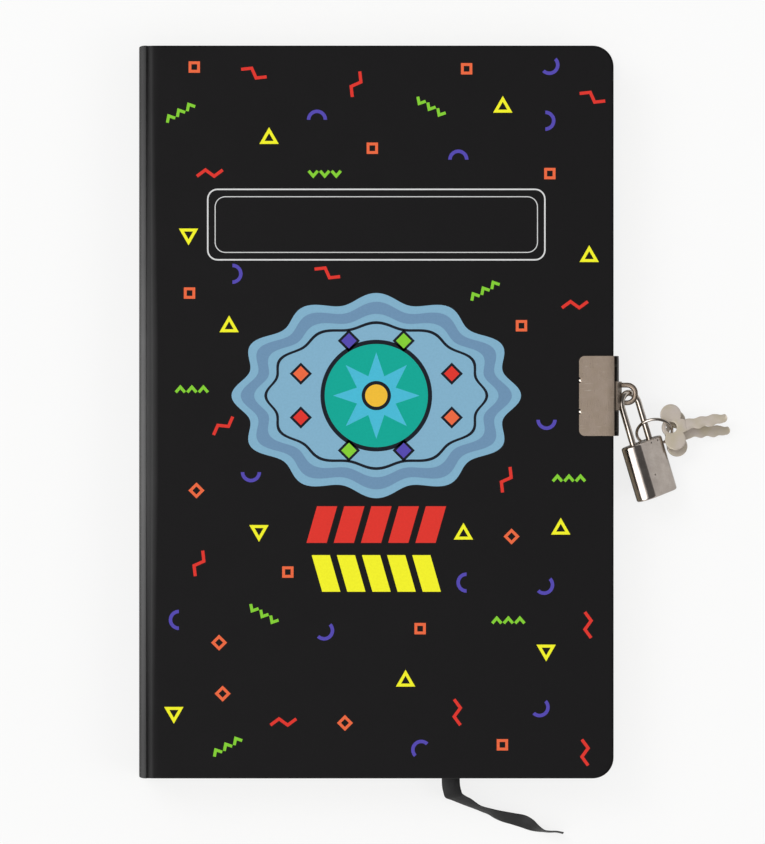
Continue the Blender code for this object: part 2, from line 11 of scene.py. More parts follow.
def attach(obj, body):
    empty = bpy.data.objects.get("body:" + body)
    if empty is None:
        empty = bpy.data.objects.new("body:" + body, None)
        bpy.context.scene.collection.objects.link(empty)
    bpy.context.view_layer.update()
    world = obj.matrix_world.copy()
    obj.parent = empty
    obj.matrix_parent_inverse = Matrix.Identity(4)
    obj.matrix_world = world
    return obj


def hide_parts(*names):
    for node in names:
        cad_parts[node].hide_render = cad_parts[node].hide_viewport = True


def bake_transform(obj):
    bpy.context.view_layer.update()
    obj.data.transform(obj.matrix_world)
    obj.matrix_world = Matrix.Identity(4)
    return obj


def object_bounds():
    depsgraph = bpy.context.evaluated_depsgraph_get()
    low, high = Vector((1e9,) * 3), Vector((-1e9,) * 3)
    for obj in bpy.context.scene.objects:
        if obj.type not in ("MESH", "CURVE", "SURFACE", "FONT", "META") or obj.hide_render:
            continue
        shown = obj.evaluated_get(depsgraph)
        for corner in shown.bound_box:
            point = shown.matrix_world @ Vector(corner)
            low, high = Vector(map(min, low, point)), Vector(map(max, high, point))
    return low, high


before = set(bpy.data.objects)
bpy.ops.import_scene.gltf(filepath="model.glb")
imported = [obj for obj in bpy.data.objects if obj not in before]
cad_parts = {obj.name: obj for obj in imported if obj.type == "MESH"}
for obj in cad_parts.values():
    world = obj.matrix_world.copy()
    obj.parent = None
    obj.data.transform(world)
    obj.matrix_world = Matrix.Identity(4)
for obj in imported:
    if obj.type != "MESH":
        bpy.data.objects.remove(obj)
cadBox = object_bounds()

mm = 0.001
scene = bpy.context.scene

book = {
    "width": 136, "height": 210, "thickness": 16.8, "corner": 6, "joint": 3.2,
    "wrap": 0.3, "innerDepth": 2.6, "turnIn": 14, "edge": 0.5, "jointStrip": 2.6, "jointFall": 0.24,
    "spineDepth": 2.4, "spineRound": 1.9, "spineEdge": 0.35, "spineLip": 2,
}
spineFace = -book["width"] / 2
foreEdge = book["width"] / 2
top = book["thickness"]
tail = -book["height"] / 2


camera = {"height": 2200, "scale": 0.2865, "centre": (376.3, 412.0), "pixels": (765, 844)}


def setCamera(c):
    # straight down: the photo's long side covers pixels * scale at the cover's face
    data = bpy.data.cameras.new("photoCamera")
    view = bpy.data.objects.new("photoCamera", data)
    scene.collection.objects.link(view)
    scene.camera = view
    x = (c["pixels"][0] / 2 - c["centre"][0]) * c["scale"]
    y = (c["centre"][1] - c["pixels"][1] / 2) * c["scale"]
    view.location = Vector((x, y, top + c["height"])) * mm
    data.sensor_width = 36
    data.lens = data.sensor_width * c["height"] / (c["pixels"][1] * c["scale"])
    data.clip_start = 0.01
    data.clip_end = 50


setCamera(camera)
scene.view_settings.view_transform = "Standard"


# Fills a node's sockets: each takes a value, a socket, or a node, which stands for its first output
def fill(tree, node, sockets):
    for key, value in sockets.items():
        if isinstance(value, bpy.types.Node):
            value = value.outputs[0]
        if isinstance(value, bpy.types.NodeSocket):
            tree.links.new(value, node.inputs[key])
        else:
            node.inputs[key].default_value = value


# Adds a node with its fields and sockets; a Map Range's sockets are value, from, from, to, to
def addNode(tree, kind, sockets=None, **fields):
    node = tree.nodes.new("ShaderNode" + kind)
    for key, value in fields.items():
        setattr(node, key, value)
    fill(tree, node, sockets or {})
    return node


# sRGB hex to linear light
def linear(code):
    levels = np.array([int(code[k:k + 2], 16) for k in (1, 3, 5)]) / 255
    levels = np.where(levels <= 0.04045, levels / 12.92, ((levels + 0.055) / 1.055) ** 2.4)
    return (*levels.tolist(), 1.0)


studio = {
    "fill": 0.62, "zenith": 0.85, "bright": 3.2, "dim": 0.13, "turnAt": (0.2, 0.06), "wallAt": (0.02, -0.2),
    "behindAt": (0.3, 0.6), "horizon": 0.85, "glow": 0.8,
    "lamps": [  # place, size, watts
        ((-900, 700, 1300), 900, 9.0),
        ((1000, -300, 1100), 700, 4.0),
    ],
}


def lightStudio(s):
    world = bpy.data.worlds.new("paleStudio")
    scene.world = world
    world.use_nodes = True
    tree = world.node_tree
    tree.nodes.clear()
    rays = addNode(tree, "LightPath")
    way = addNode(tree, "TexCoord")
    x, y, z = addNode(tree, "SeparateXYZ", {0: way.outputs["Generated"]}).outputs
    # metal sees a white wall on the left, a pale ceiling, and dark walls on the right and behind over
    # a pale horizon
    dark, pale, side, behind = (
        addNode(tree, "MapRange", dict(enumerate(sockets)), interpolation_type="SMOOTHSTEP")
        for sockets in ((z, 0.0, 0.14, s["horizon"], s["dim"]), (x, *s["wallAt"], s["zenith"], s["bright"]),
                        (x, *s["turnAt"], 0.0, 1.0), (y, *s["behindAt"], 0.0, 1.0)))
    room = addNode(tree, "Mix", {0: side, 2: dark, 3: pale})
    room = addNode(tree, "Mix", {0: behind, 2: room, 3: dark})
    gloss = addNode(tree, "Mix", {0: rays.outputs["Is Glossy Ray"], 2: s["fill"], 3: room})
    seen = addNode(tree, "Math", {0: rays.outputs["Is Camera Ray"],
                   1: rays.outputs["Is Transmission Ray"]}, operation="MAXIMUM")
    level = addNode(tree, "Mix", {0: seen, 2: gloss, 3: 1.0})
    back = addNode(tree, "Background", {"Color": (1, 1, 1, 1), "Strength": level})
    addNode(tree, "OutputWorld", {"Surface": back})
    for k, (place, size, watts) in enumerate(s["lamps"]):
        lamp = bpy.data.lights.new(f"softbox{k}", "AREA")
        lamp.size = size * mm
        lamp.energy = watts
        holder = bpy.data.objects.new(lamp.name, lamp)
        scene.collection.objects.link(holder)
        holder.visible_glossy = False
        holder.location = Vector(place) * mm
        holder.rotation_mode = "QUATERNION"
        holder.rotation_quaternion = (-holder.location).to_track_quat("-Z", "Y")


def layFloor(z, half):
    mesh = bpy.data.meshes.new("paleFloor")
    mesh.from_pydata([(-half, -half, z), (half, -half, z), (half, half, z), (-half, half, z)],
                     [], [(0, 1, 2, 3)])
    floor = bpy.data.objects.new("paleFloor", mesh)
    scene.collection.objects.link(floor)
    material = bpy.data.materials.new("paperBackdrop")
    material.use_nodes = True
    tree = material.node_tree
    tree.nodes.clear()
    rays = addNode(tree, "LightPath")
    paper = addNode(tree, "BsdfDiffuse", {"Color": linear("#f2f2f0")})
    glow = addNode(tree, "Emission", {"Color": (1, 1, 1, 1), "Strength": 1.0})
    lit = addNode(tree, "MixShader", {0: studio["glow"], 1: paper, 2: glow})
    seen = addNode(tree, "Math", {0: rays.outputs["Is Camera Ray"],
                   1: rays.outputs["Is Transmission Ray"]}, operation="MAXIMUM")
    look = addNode(tree, "MixShader", {0: seen, 1: paper, 2: lit})
    addNode(tree, "OutputMaterial", {"Surface": look})
    mesh.materials.append(material)


lightStudio(studio)
layFloor(cadBox[0].z, 6.0)
print("camera, lamps and floor are set")


# Joins rows of closed rings into quads; capped adds one face over the first and the last row
def gridFaces(rows, cols, closeRows=False, capped=False):
    index = np.arange(rows * cols).reshape(rows, cols)
    here = index if closeRows else index[:-1]
    after = np.roll(index, -1, axis=0) if closeRows else index[1:]
    corners = (here, after, np.roll(after, -1, axis=1), np.roll(here, -1, axis=1))
    faces = np.stack(corners, axis=-1).reshape(-1, 4).tolist()
    if capped:
        faces += [index[0, ::-1].tolist(), index[-1].tolist()]
    return faces


# A closed skin over rows of rings, with both ends capped
def tube(rings):
    rings = np.asarray(rings, float)
    return rings.reshape(-1, 3), gridFaces(*rings.shape[:2], capped=True)


# A skin that closes both ways, as on a ring
def loopSkin(rings):
    rings = np.asarray(rings, float)
    return rings.reshape(-1, 3), gridFaces(*rings.shape[:2], closeRows=True)


# Each point is path + across * side + rise * up, with side square to the path's direction and to up
def carry(path, profile, up, closed=False):
    path = np.asarray(path, float)
    ahead = np.roll(path, -1, axis=0) - np.roll(path, 1, axis=0) if closed else np.gradient(path, axis=0)
    ahead /= np.linalg.norm(ahead, axis=1, keepdims=True)
    side = np.cross(ahead, np.broadcast_to(up, path.shape))
    side /= np.linalg.norm(side, axis=1, keepdims=True)
    rise = np.cross(side, ahead)
    profile = np.asarray(profile, float)
    return (path[:, None] + profile[..., 0, None] * side[:, None] + profile[..., 1, None] * rise[:, None])


# Points of a circle's arc: centre + radius * (cos, sin), angles in degrees
def arc(x, y, radius, start, end, count):
    a = np.radians(np.linspace(start, end, count))
    return np.stack((x + radius * np.cos(a), y + radius * np.sin(a)), axis=1)


# A rectangle with one radius at its left corners and one at its right, anticlockwise;
# extra points stand at even steps along each side
def outline(x0, x1, y0, y1, left, right, steps=10, extra=0):
    left, right = max(left, 0.02), max(right, 0.02)
    corners = [arc(x0 + left, y0 + left, left, 180, 270, steps),
               arc(x1 - right, y0 + right, right, 270, 360, steps),
               arc(x1 - right, y1 - right, right, 0, 90, steps),
               arc(x0 + left, y1 - left, left, 90, 180, steps)]
    runs = []
    share = np.linspace(0, 1, extra + 2)[1:-1, None]
    for k, corner in enumerate(corners):
        runs += [corner, corner[-1] * (1 - share) + corners[(k + 1) % 4][0] * share]
    return np.concatenate(runs)


# A small rounded rectangle for a bar's cross-section
def barProfile(width, height, radius, steps=4):
    return outline(-width / 2, width / 2, -height / 2, height / 2, radius, radius, steps)


def circleProfile(radius, count=24):
    a = np.linspace(0, 2 * pi, count, endpoint=False)
    return radius * np.stack((np.cos(a), np.sin(a)), axis=1)


def atHeight(points, z):
    return np.column_stack((points, np.full(len(points), float(z))))


# Points of a piece's own frame, put in the world
def placed(points, matrix):
    m = np.array(matrix)
    return points @ m[:3, :3].T + m[:3, 3] / mm


# One object from closed shells, with its faces out, its material and body; the CAD parts it stands for are
# hidden
def makePiece(name, shells, material, body, stands=(), sharp=40):
    points, faces, start = [], [], 0
    for shell, shellFaces in shells:
        points.append(shell)
        faces += [[start + v for v in face] for face in shellFaces]
        start += len(shell)
    mesh = bpy.data.meshes.new(name)
    mesh.from_pydata((np.concatenate(points) * mm).tolist(), [], faces)
    shape = bmesh.new()
    shape.from_mesh(mesh)
    bmesh.ops.remove_doubles(shape, verts=shape.verts, dist=0.0005 * mm)
    bmesh.ops.recalc_face_normals(shape, faces=shape.faces)
    shape.to_mesh(mesh)
    shape.free()
    mesh.materials.append(material)
    mesh.shade_smooth()
    mesh.set_sharp_from_angle(angle=radians(sharp))
    piece = bpy.data.objects.new(name, mesh)
    scene.collection.objects.link(piece)
    if body:
        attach(piece, body)
    if stands:
        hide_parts(*stands)
    return piece


def roundEdges(piece, width):
    bevel = piece.modifiers.new("softEdge", "BEVEL")
    bevel.width = width * mm
    bevel.segments = 2
    bevel.limit_method = "ANGLE"
    bevel.angle_limit = radians(50)


# Cuts holes with closed shells, and keeps the result as the piece's mesh
def cutHoles(piece, shells):
    mesh = bpy.data.meshes.new("cutter")
    points = np.concatenate([s[0] for s in shells])
    starts = np.cumsum([0] + [len(s[0]) for s in shells])
    mesh.from_pydata((points * mm).tolist(), [],
                     [[start + v for v in face] for start, s in zip(starts, shells) for face in s[1]])
    shape = bmesh.new()
    shape.from_mesh(mesh)
    bmesh.ops.recalc_face_normals(shape, faces=shape.faces)
    shape.to_mesh(mesh)
    shape.free()
    cutter = bpy.data.objects.new("cutter", mesh)
    scene.collection.objects.link(cutter)
    cut = piece.modifiers.new("holes", "BOOLEAN")
    cut.operation = "DIFFERENCE"
    cut.solver = "EXACT"
    cut.object = cutter
    result = bpy.data.meshes.new_from_object(piece.evaluated_get(bpy.context.evaluated_depsgraph_get()))
    piece.modifiers.clear()
    piece.data = result
    bpy.data.objects.remove(cutter, do_unlink=True)
    result.shade_smooth()
    result.set_sharp_from_angle(angle=radians(35))


def startMaterial(name, **sockets):
    material = bpy.data.materials.new(name)
    material.use_nodes = True
    tree = material.node_tree
    shader = tree.nodes["Principled BSDF"]
    for key, value in sockets.items():
        shader.inputs[key.replace("_", " ")].default_value = value
    place = addNode(tree, "TexCoord").outputs["Object"]
    return material, tree, shader, place


# Noise whose patches are about size millimetres, longer where stretch is small; its values lie
# mostly between 0.3 and 0.7
def grain(tree, place, size, stretch=(1, 1, 1), detail=3.0):
    scale = tuple(s / (size * mm) for s in stretch)
    spread = addNode(tree, "Mapping", {"Vector": place, "Scale": scale})
    return addNode(tree, "TexNoise", {"Vector": spread, "Scale": 1.0, "Detail": detail})


# Black offset print under a matt polypropylene film: near black, a broad soft sheen, and faint
# rubbed patches that are a little glossier; along the spine the specular level is raised as a painted
# highlight
def matLaminate(name, code, mottle=0.06, paintedSpineSheen=False):
    material, tree, shader, place = startMaterial(name, Specular_IOR_Level=0.09)
    darker = [c * (1 - mottle) for c in linear(code)[:3]]
    lighter = [c * (1 + mottle) + 0.0006 for c in linear(code)[:3]]
    speck = addNode(tree, "MapRange", {0: grain(tree, place, 0.6), 1: 0.3, 2: 0.7})
    tint = addNode(tree, "Mix", {0: speck, 6: (*darker, 1), 7: (*lighter, 1)}, data_type="RGBA")
    patch = addNode(tree, "MapRange",
                    {0: grain(tree, place, 9), 1: 0.3, 2: 0.7, 3: 0.43, 4: 0.49})
    film = addNode(tree, "Bump", {"Height": grain(tree, place, 0.45, detail=1.5),
                   "Distance": 0.004 * mm, "Strength": 1.0})
    fill(tree, shader, {"Base Color": tint.outputs[2], "Roughness": patch, "Normal": film})
    if paintedSpineSheen:
        x, y, _ = addNode(tree, "SeparateXYZ", {0: place}).outputs
        high = addNode(tree, "Math", {0: y}, operation="ABSOLUTE")
        # painted highlight: the specular level is highest at half height, and there it reaches furthest in
        # from the spine
        spineSheenLevel, stop = (
            addNode(tree, "MapRange", {0: high, 1: 20 * mm, 2: 90 * mm, 3: low, 4: far})
            for low, far in ((0.72, 0.38), (-62.4 * mm, -63.6 * mm)))
        gloss = addNode(tree, "MapRange", {0: x, 1: -66.1 * mm, 2: stop, 3: spineSheenLevel, 4: 0.09})
        fill(tree, shader, {"Specular IOR Level": gloss})
    return material


# Uncoated book paper, calendered: warm white, dull, with short fibres that lie every way
def uncoatedPaper(name, code, ruled=False):
    material, tree, shader, place = startMaterial(name, Roughness=0.85, Specular_IOR_Level=0.25)
    shade = [c * 0.93 for c in linear(code)[:3]]
    fibre = grain(tree, place, 0.5, (1, 0.35, 1), 4)
    weight = addNode(tree, "MapRange", {0: fibre, 1: 0.3, 2: 0.7})
    tint = addNode(tree, "Mix", {0: weight, 6: (*shade, 1), 7: linear(code)}, data_type="RGBA")
    cloud = addNode(tree, "MapRange", {0: grain(tree, place, 14), 1: 0.3, 2: 0.7, 4: 0.25})
    tint = addNode(tree, "Mix", {0: cloud, 6: tint.outputs[2], 7: linear("#e9e2cf")},
                   data_type="RGBA")
    if ruled:
        # a rule every 8 mm between the top and bottom margins, about 0.3 mm wide
        y = addNode(tree, "SeparateXYZ", {0: place}).outputs["Y"]
        step = addNode(tree, "Math", {0: y, 1: 4 * mm}, operation="PINGPONG")
        line = addNode(tree, "MapRange", {0: step, 1: 0.12 * mm, 2: 0.22 * mm, 3: 1.0, 4: 0.0})
        high = addNode(tree, "Math", {0: y}, operation="ABSOLUTE")
        inside = addNode(tree, "Math", {0: high, 1: 86 * mm}, operation="LESS_THAN")
        line = addNode(tree, "Math", {0: line, 1: inside}, operation="MULTIPLY")
        tint = addNode(tree, "Mix", {0: line, 6: tint.outputs[2], 7: linear("#9aa7b5")},
                       data_type="RGBA")
    relief = addNode(tree, "Bump", {"Height": fibre, "Distance": 0.012 * mm, "Strength": 1.0})
    fill(tree, shader, {"Base Color": tint.outputs[2], "Normal": relief})
    return material


# Millboard of waste pulp: grey brown with dark and light flecks
def pulpBoard(name):
    material, tree, shader, place = startMaterial(name, Roughness=0.95)
    fleck = grain(tree, place, 0.8, (1, 0.5, 1), 5)
    weight = addNode(tree, "MapRange", {0: fleck, 1: 0.3, 2: 0.7})
    tint = addNode(tree, "Mix", {0: weight, 6: linear("#8d8271"), 7: linear("#b0a592")},
                   data_type="RGBA")
    relief = addNode(tree, "Bump", {"Height": fleck, "Distance": 0.05 * mm, "Strength": 1.0})
    fill(tree, shader, {"Base Color": tint.outputs[2], "Normal": relief})
    return material


# Plain weave of threads that stand at a real spacing, along the two axes given
def wovenCloth(name, dark, light, spacing, axes=("Y", "Z")):
    material, tree, shader, place = startMaterial(name, Roughness=0.8, Sheen_Weight=0.25,
                                                  Sheen_Roughness=0.5)
    split = addNode(tree, "SeparateXYZ", {0: place})
    turns = [addNode(tree, "Math", {0: split.outputs[axis], 1: 2 * pi / (spacing * mm)},
                     operation="MULTIPLY") for axis in axes]
    waves = [addNode(tree, "Math", {0: turn}, operation="SINE") for turn in turns]
    weave = addNode(tree, "Math", {0: waves[0], 1: waves[-1]}, operation="ADD")
    weight = addNode(tree, "MapRange", {0: weave, 1: -1.0, 2: 1.0})
    tint = addNode(tree, "Mix", {0: weight, 6: linear(dark), 7: linear(light)}, data_type="RGBA")
    relief = addNode(tree, "Bump", {"Height": weave, "Distance": 0.05 * mm, "Strength": 1.0})
    fill(tree, shader, {"Base Color": tint.outputs[2], "Normal": relief})
    return material


# Black polyester satin: threads along the ribbon carry a narrow sheen, fine ribs lie across it
def satinRibbon(name):
    material, tree, shader, _ = startMaterial(name, Specular_IOR_Level=0.22)
    lay = addNode(tree, "UVMap", uv_map="lay")
    along = addNode(tree, "SeparateXYZ", {0: lay}).outputs[1]
    # ribs every 0.35 mm along the ribbon, drawn coarser than the real 0.15 mm so that they show
    turn = addNode(tree, "Math", {0: along, 1: 2 * pi / 0.35}, operation="MULTIPLY")
    rib = addNode(tree, "Math", {0: turn}, operation="SINE")
    thread = grain(tree, lay.outputs[0], 1000 * 0.3, (1, 0.05, 1), 2)  # the UV map is in millimetres
    weight = addNode(tree, "MapRange", {0: thread, 1: 0.3, 2: 0.7})
    tint = addNode(tree, "Mix", {0: weight, 6: linear("#090909"), 7: linear("#131214")},
                   data_type="RGBA")
    rough = addNode(tree, "MapRange", {0: thread, 1: 0.3, 2: 0.7, 3: 0.36, 4: 0.55})
    soft = addNode(tree, "Bump", {"Height": rib, "Distance": 0.012 * mm, "Strength": 1.0})
    relief = addNode(tree, "Bump", {"Height": thread, "Distance": 0.02 * mm, "Strength": 1.0,
                     "Normal": soft})
    fill(tree, shader, {"Base Color": tint.outputs[2], "Roughness": rough, "Normal": relief})
    return material


# Nickel plate over pressed steel: warm grey, finely brushed one way, with rub marks and tarnish
def nickelPlate(name, code, worn, brush=(1, 0.03, 1), rough=(0.24, 0.4), metal=1.0):
    material, tree, shader, place = startMaterial(name, Metallic=metal)
    fine = grain(tree, place, 0.12, brush, 3)
    cloud = grain(tree, place, 3.5)
    scratch = grain(tree, place, 0.5, (0.12, 1, 0.12), 6)
    tarnish = addNode(tree, "MapRange", {0: cloud, 1: 0.35, 2: 0.7})
    tint = addNode(tree, "Mix", {0: tarnish, 6: linear(code), 7: linear(worn)}, data_type="RGBA")
    mark = addNode(tree, "MapRange", {0: scratch, 1: 0.64, 2: 0.76, 4: 0.3})
    tint = addNode(tree, "Mix", {0: mark, 6: tint.outputs[2], 7: linear("#d9d3cb")},
                   data_type="RGBA")
    dull = addNode(tree, "MapRange", {0: fine, 1: 0.3, 2: 0.7, 3: rough[0], 4: rough[1]})
    soft = addNode(tree, "Bump", {"Height": fine, "Distance": 0.0015 * mm, "Strength": 1.0})
    relief = addNode(tree, "Bump", {"Height": cloud, "Distance": 0.008 * mm, "Strength": 1.0,
                     "Normal": soft})
    fill(tree, shader, {"Base Color": tint.outputs[2], "Roughness": dull, "Normal": relief})
    return material


finish = {
    # the cover's film carries a painted highlight along the spine, strongest at half height
    "cover": matLaminate("matLaminateBlack", "#0f0e0f", paintedSpineSheen=True),
    "board": pulpBoard("pulpBoard"),
    "endpaper": uncoatedPaper("endpaperCream", "#efe9da"),
    "page": uncoatedPaper("ruledBookPaper", "#f1ecdd", ruled=True),
    "edges": uncoatedPaper("trimmedPageEdges", "#ece5d2"),
    "gauze": wovenCloth("gluedGauze", "#b9b09a", "#e0d9c6", 1.0),
    "band": wovenCloth("headBandThread", "#cfc9bb", "#f1ede2", 0.5, ("Z",)),
    "ribbon": satinRibbon("polyesterSatin"),
    "hasp": nickelPlate("stampedNickelSheet", "#8f8175", "#897b6d"),
    # the bend beside the tab: nickel painted near black, a painted dark reflection
    "flange": nickelPlate("paintedDarkReflectionBend", "#2b2725", "#1d1a19", rough=(0.4, 0.55)),
    "wire": nickelPlate("drawnNickelWire", "#cdc3ba", "#b3a89d", brush=(1, 1, 1), rough=(0.08, 0.16)),
    "case": nickelPlate("tumbledNickelCase", "#bdb3ac", "#aca29b", brush=(1, 0.05, 1), rough=(0.13, 0.22)),
    "works": nickelPlate("turnedBrass", "#c7a765", "#a98c53", brush=(1, 1, 1)),
    "key": nickelPlate("wornKeyNickel", "#c3b8af", "#bcb19c", brush=(0.2, 1, 1), rough=(0.34, 0.5),
                       metal=0.25),
}


def coverWrap(side, name, body, stands):
    b = book
    x0, x1 = spineFace + b["joint"], foreEdge
    z = (lambda depth: depth) if side < 0 else (lambda depth: top - depth)

    r, t, deep = b["edge"], b["wrap"], b["innerDepth"]

    # the outer face falls by the square of the way into its strip beside the joint, less at half height
    def ring(depth, inset):
        loop = outline(x0 + inset, x1 - inset, tail + inset, -tail - inset, 0.3, b["corner"] - inset,
                       12, 60)
        way = ((x0 + b["jointStrip"] - loop[:, 0]) / b["jointStrip"]).clip(0)
        fall = b["jointFall"] * way ** 2 * (0.25 + 0.75 * (loop[:, 1] / tail) ** 2) * (depth <= r)
        return np.column_stack((loop, z(depth + fall)))

    turn = np.radians(np.linspace(0, 90, 7))
    rows = [ring(t, t + 0.1), ring(deep - t, t + 0.1), ring(deep - t, b["turnIn"]), ring(deep, b["turnIn"])]
    rows += [ring(deep - r * (1 - sin(a)), r * (1 - cos(a))) for a in turn[::-1]]
    rows += [ring(r * (1 - sin(a)), r * (1 - cos(a))) for a in turn]
    rows += [ring(0, r + k) for k in (0.4, 0.8, 1.2, 1.6, 2.1)]
    makePiece(name, [tube(rows)], finish["cover"], body, stands)


def spineWrap():
    half, depth, lip, t = book["height"] / 2, book["spineDepth"], book["spineLip"], book["wrap"]
    r, small = book["spineRound"], book["spineEdge"]
    turn = np.radians(np.linspace(0, 90, 9))

    def ring(x, insetZ, insetY):
        loop = outline(-half + insetY, half - insetY, insetZ, top - insetZ, 0.25, 0.25, 4)
        return np.column_stack((np.full(len(loop), spineFace + x), loop))

    rows = [ring(t, r * 0.6, t + 0.1), ring(depth - t, t + 0.1, t + 0.1), ring(depth - t, lip, lip),
            ring(depth, lip, lip)]
    rows += [ring(depth - small * (1 - sin(a)), small * (1 - cos(a)), 0.5 * small * (1 - cos(a)))
             for a in turn[::-1]]
    rows += [ring(r * (1 - sin(a)), r * (1 - cos(a)), 0.3 * r * (1 - cos(a))) for a in turn]
    makePiece("spineStrip", [tube(rows)], finish["cover"], "spine", ["spine_wrap"])


groove = {
    "start": -66.1, "end": -64.1, "middle": -65.15, "half": 1.05, "thickness": 0.28,
    "blend": (-65.6, -64.7),
    # at half height, and what the head and the tail add to it
    "depth": (0.015, 0.035), "slope": (0.02, 0.04), "hollow": (0.005, 0.215),
}


# Paper pressed into the groove: its depth is start + slope * x + hollow * cos(half turn), and each of
# the three grows with the square of the way to the head and the tail
def jointPaper(g, side, name):
    x = np.linspace(g["start"], g["end"], 15)
    dip = np.cos((x - g["middle"]) / g["half"] * pi / 2).clip(0)
    rows = []
    for y in np.linspace(tail + 0.05, -tail - 0.05, 41):
        start, slope, hollow = (base + more * (y / tail) ** 2
                                for base, more in (g["depth"], g["slope"], g["hollow"]))
        depth = start + slope * (x - g["start"]) + hollow * dip
        depth = np.concatenate((depth, depth[::-1] + g["thickness"]))
        z = depth if side < 0 else top - depth
        rows.append(np.column_stack((np.concatenate((x, x[::-1])), np.full(len(z), y), z)))
    piece = makePiece(name, [tube(rows)], finish["cover"], None)
    level = (top - 1) if side > 0 else 1
    start, end = (Vector((x, 0, level)) * mm for x in g["blend"])
    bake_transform(piece)


coverWrap(1, "frontCase", "front_cover", ["front_wrap"])
coverWrap(-1, "backCase", "root", ["back_wrap"])
spineWrap()
jointPaper(groove, 1, "frontJointPaper")
jointPaper(groove, -1, "backJointPaper")
print("case is wrapped")


ink = {
    "red": "#e0382f", "orange": "#ee6b43", "yellow": "#f7f52c", "green": "#86d037", "violet": "#564bb0",
    "sky": "#84b2cc", "shade": "#6f93b3", "teal": "#12a896", "cyan": "#4cbcd8", "amber": "#f3bf3a",
    "white": "#dcdcdc", "dark": "#141821",
}
printing = {
    "lift": 0.03, "step": 0.012, "sunk": 0.1, "count": 60, "spacing": 13.6, "seeds": (5, 11), "middle": 4.7,
    "plate": (48.5, 43.4, 64), "plateCorner": 3, "plateLines": ((0, 0.42), (2.2, 0.25)),  # inset, width
    "bars": (("red", -37.5, 3, 19.5), ("yellow", -51.5, -3, 18)), "barHeight": 10.5, "barGap": 2,
}


def inkPad(loop, layer=0):
    high = top + printing["lift"] + layer * printing["step"]
    return tube([atHeight(loop, top - printing["sunk"]), atHeight(loop, high)])


def inkRing(outer, inner, layer=0):
    low, high = top - printing["sunk"], top + printing["lift"] + layer * printing["step"]
    return loopSkin([atHeight(outer, low), atHeight(outer, high), atHeight(inner, high),
                     atHeight(inner, low)])


# A regular shape: radius * (cos, sin) at even angles, turned and moved
def regular(sides, radius, turn=0.0, at=(0, 0)):
    a = np.linspace(0, 2 * pi, sides, endpoint=False) + radians(turn)
    return np.stack((at[0] + radius * np.cos(a), at[1] + radius * np.sin(a)), axis=1)


def turned(loop, degrees, at):
    c, s = cos(radians(degrees)), sin(radians(degrees))
    return loop @ np.array(((c, s), (-s, c))) + np.array(at)


# A band of even width along a bent line: each corner is pushed out by the two normals' sum,
# scaled so that it stands half a width off both runs
def bentBand(line, width):
    line = np.asarray(line, float)
    ahead = np.diff(line, axis=0)
    ahead /= np.linalg.norm(ahead, axis=1, keepdims=True)
    normal = np.stack((-ahead[:, 1], ahead[:, 0]), axis=1)
    push = np.vstack((normal[:1], normal[:-1] + normal[1:], normal[-1:]))
    push[1:-1] /= np.sum(push[1:-1] * normal[1:], axis=1, keepdims=True)
    return np.concatenate((line + push * width / 2, (line - push * width / 2)[::-1]))


def zigzag(at, turn):
    return [inkPad(turned(bentBand([(-3.7, -0.9), (-1.25, 0.9), (1.25, -0.9), (3.7, 0.9)], 0.9), turn, at))]


def openDiamond(at, turn):
    return [inkRing(regular(4, 2.3, turn, at), regular(4, 1.15, turn, at))]


def openTriangle(at, turn):
    return [inkRing(regular(3, 3.2, turn, at), regular(3, 1.5, turn, at))]


def chevrons(at, turn):
    shape = bentBand([(-1.3, -0.75), (0, 0.75), (1.3, -0.75)], 0.85)
    return [inkPad(turned(shape + (x, 0), turn, at)) for x in (-3.3, 0, 3.3)]


def halfRing(at, turn):
    band = np.concatenate((arc(0, -1.1, 2.9, 0, 180, 20), arc(0, -1.1, 1.9, 180, 0, 20)))
    return [inkPad(turned(band, turn, at))]


# How many of each, and the turns that it may have
motifs = {
    "red": (zigzag, 13, (0, 30, 60, 90, 120, 150)), "orange": (openDiamond, 14, (0, 45)),
    "yellow": (openTriangle, 11, (30, 90, 150, 210)), "green": (chevrons, 9, (0, 0, 30, 150, 180)),
    "violet": (halfRing, 13, (0, 45, 90, 180, 225, 270)),
}


# Places for the motifs: seeded tries, each kept if it is clear of the others and of the big shapes
def scatter(count, spacing, seed):
    random = np.random.default_rng(seed)
    kept = np.empty((0, 2))
    for _ in range(9000):
        spot = random.uniform((-58, -98), (62, 99))
        # on the name plate, the slanted blocks, the medallion or the hasp
        on = [abs(spot[0]) < 53 and 40.5 < spot[1] < 67.5, abs(spot[0]) < 24.5 and -57 < spot[1] < -22,
              (spot[0] / 45) ** 2 + ((spot[1] - 4.7) / 35) ** 2 < 1, spot[0] > 51 and -13 < spot[1] < 22]
        if any(on) or (len(kept) and np.min(np.linalg.norm(kept - spot, axis=1)) < spacing):
            continue
        kept = np.vstack((kept, spot))
        if len(kept) == count:
            break
    return kept


# Each place takes the kind whose own nearest one is farthest off, as long as that kind isn't used up
def dealKinds(places):
    left = {kind: motifs[kind][1] for kind in motifs}
    chosen = []
    for spot in places:
        gaps = {kind: min([np.linalg.norm(spot - p) for p, k in chosen if k == kind], default=60)
                for kind in left}
        kind = max((k for k in left if left[k]), key=lambda k: gaps[k] + left[k])
        left[kind] -= 1
        chosen.append((spot, kind))
    return chosen


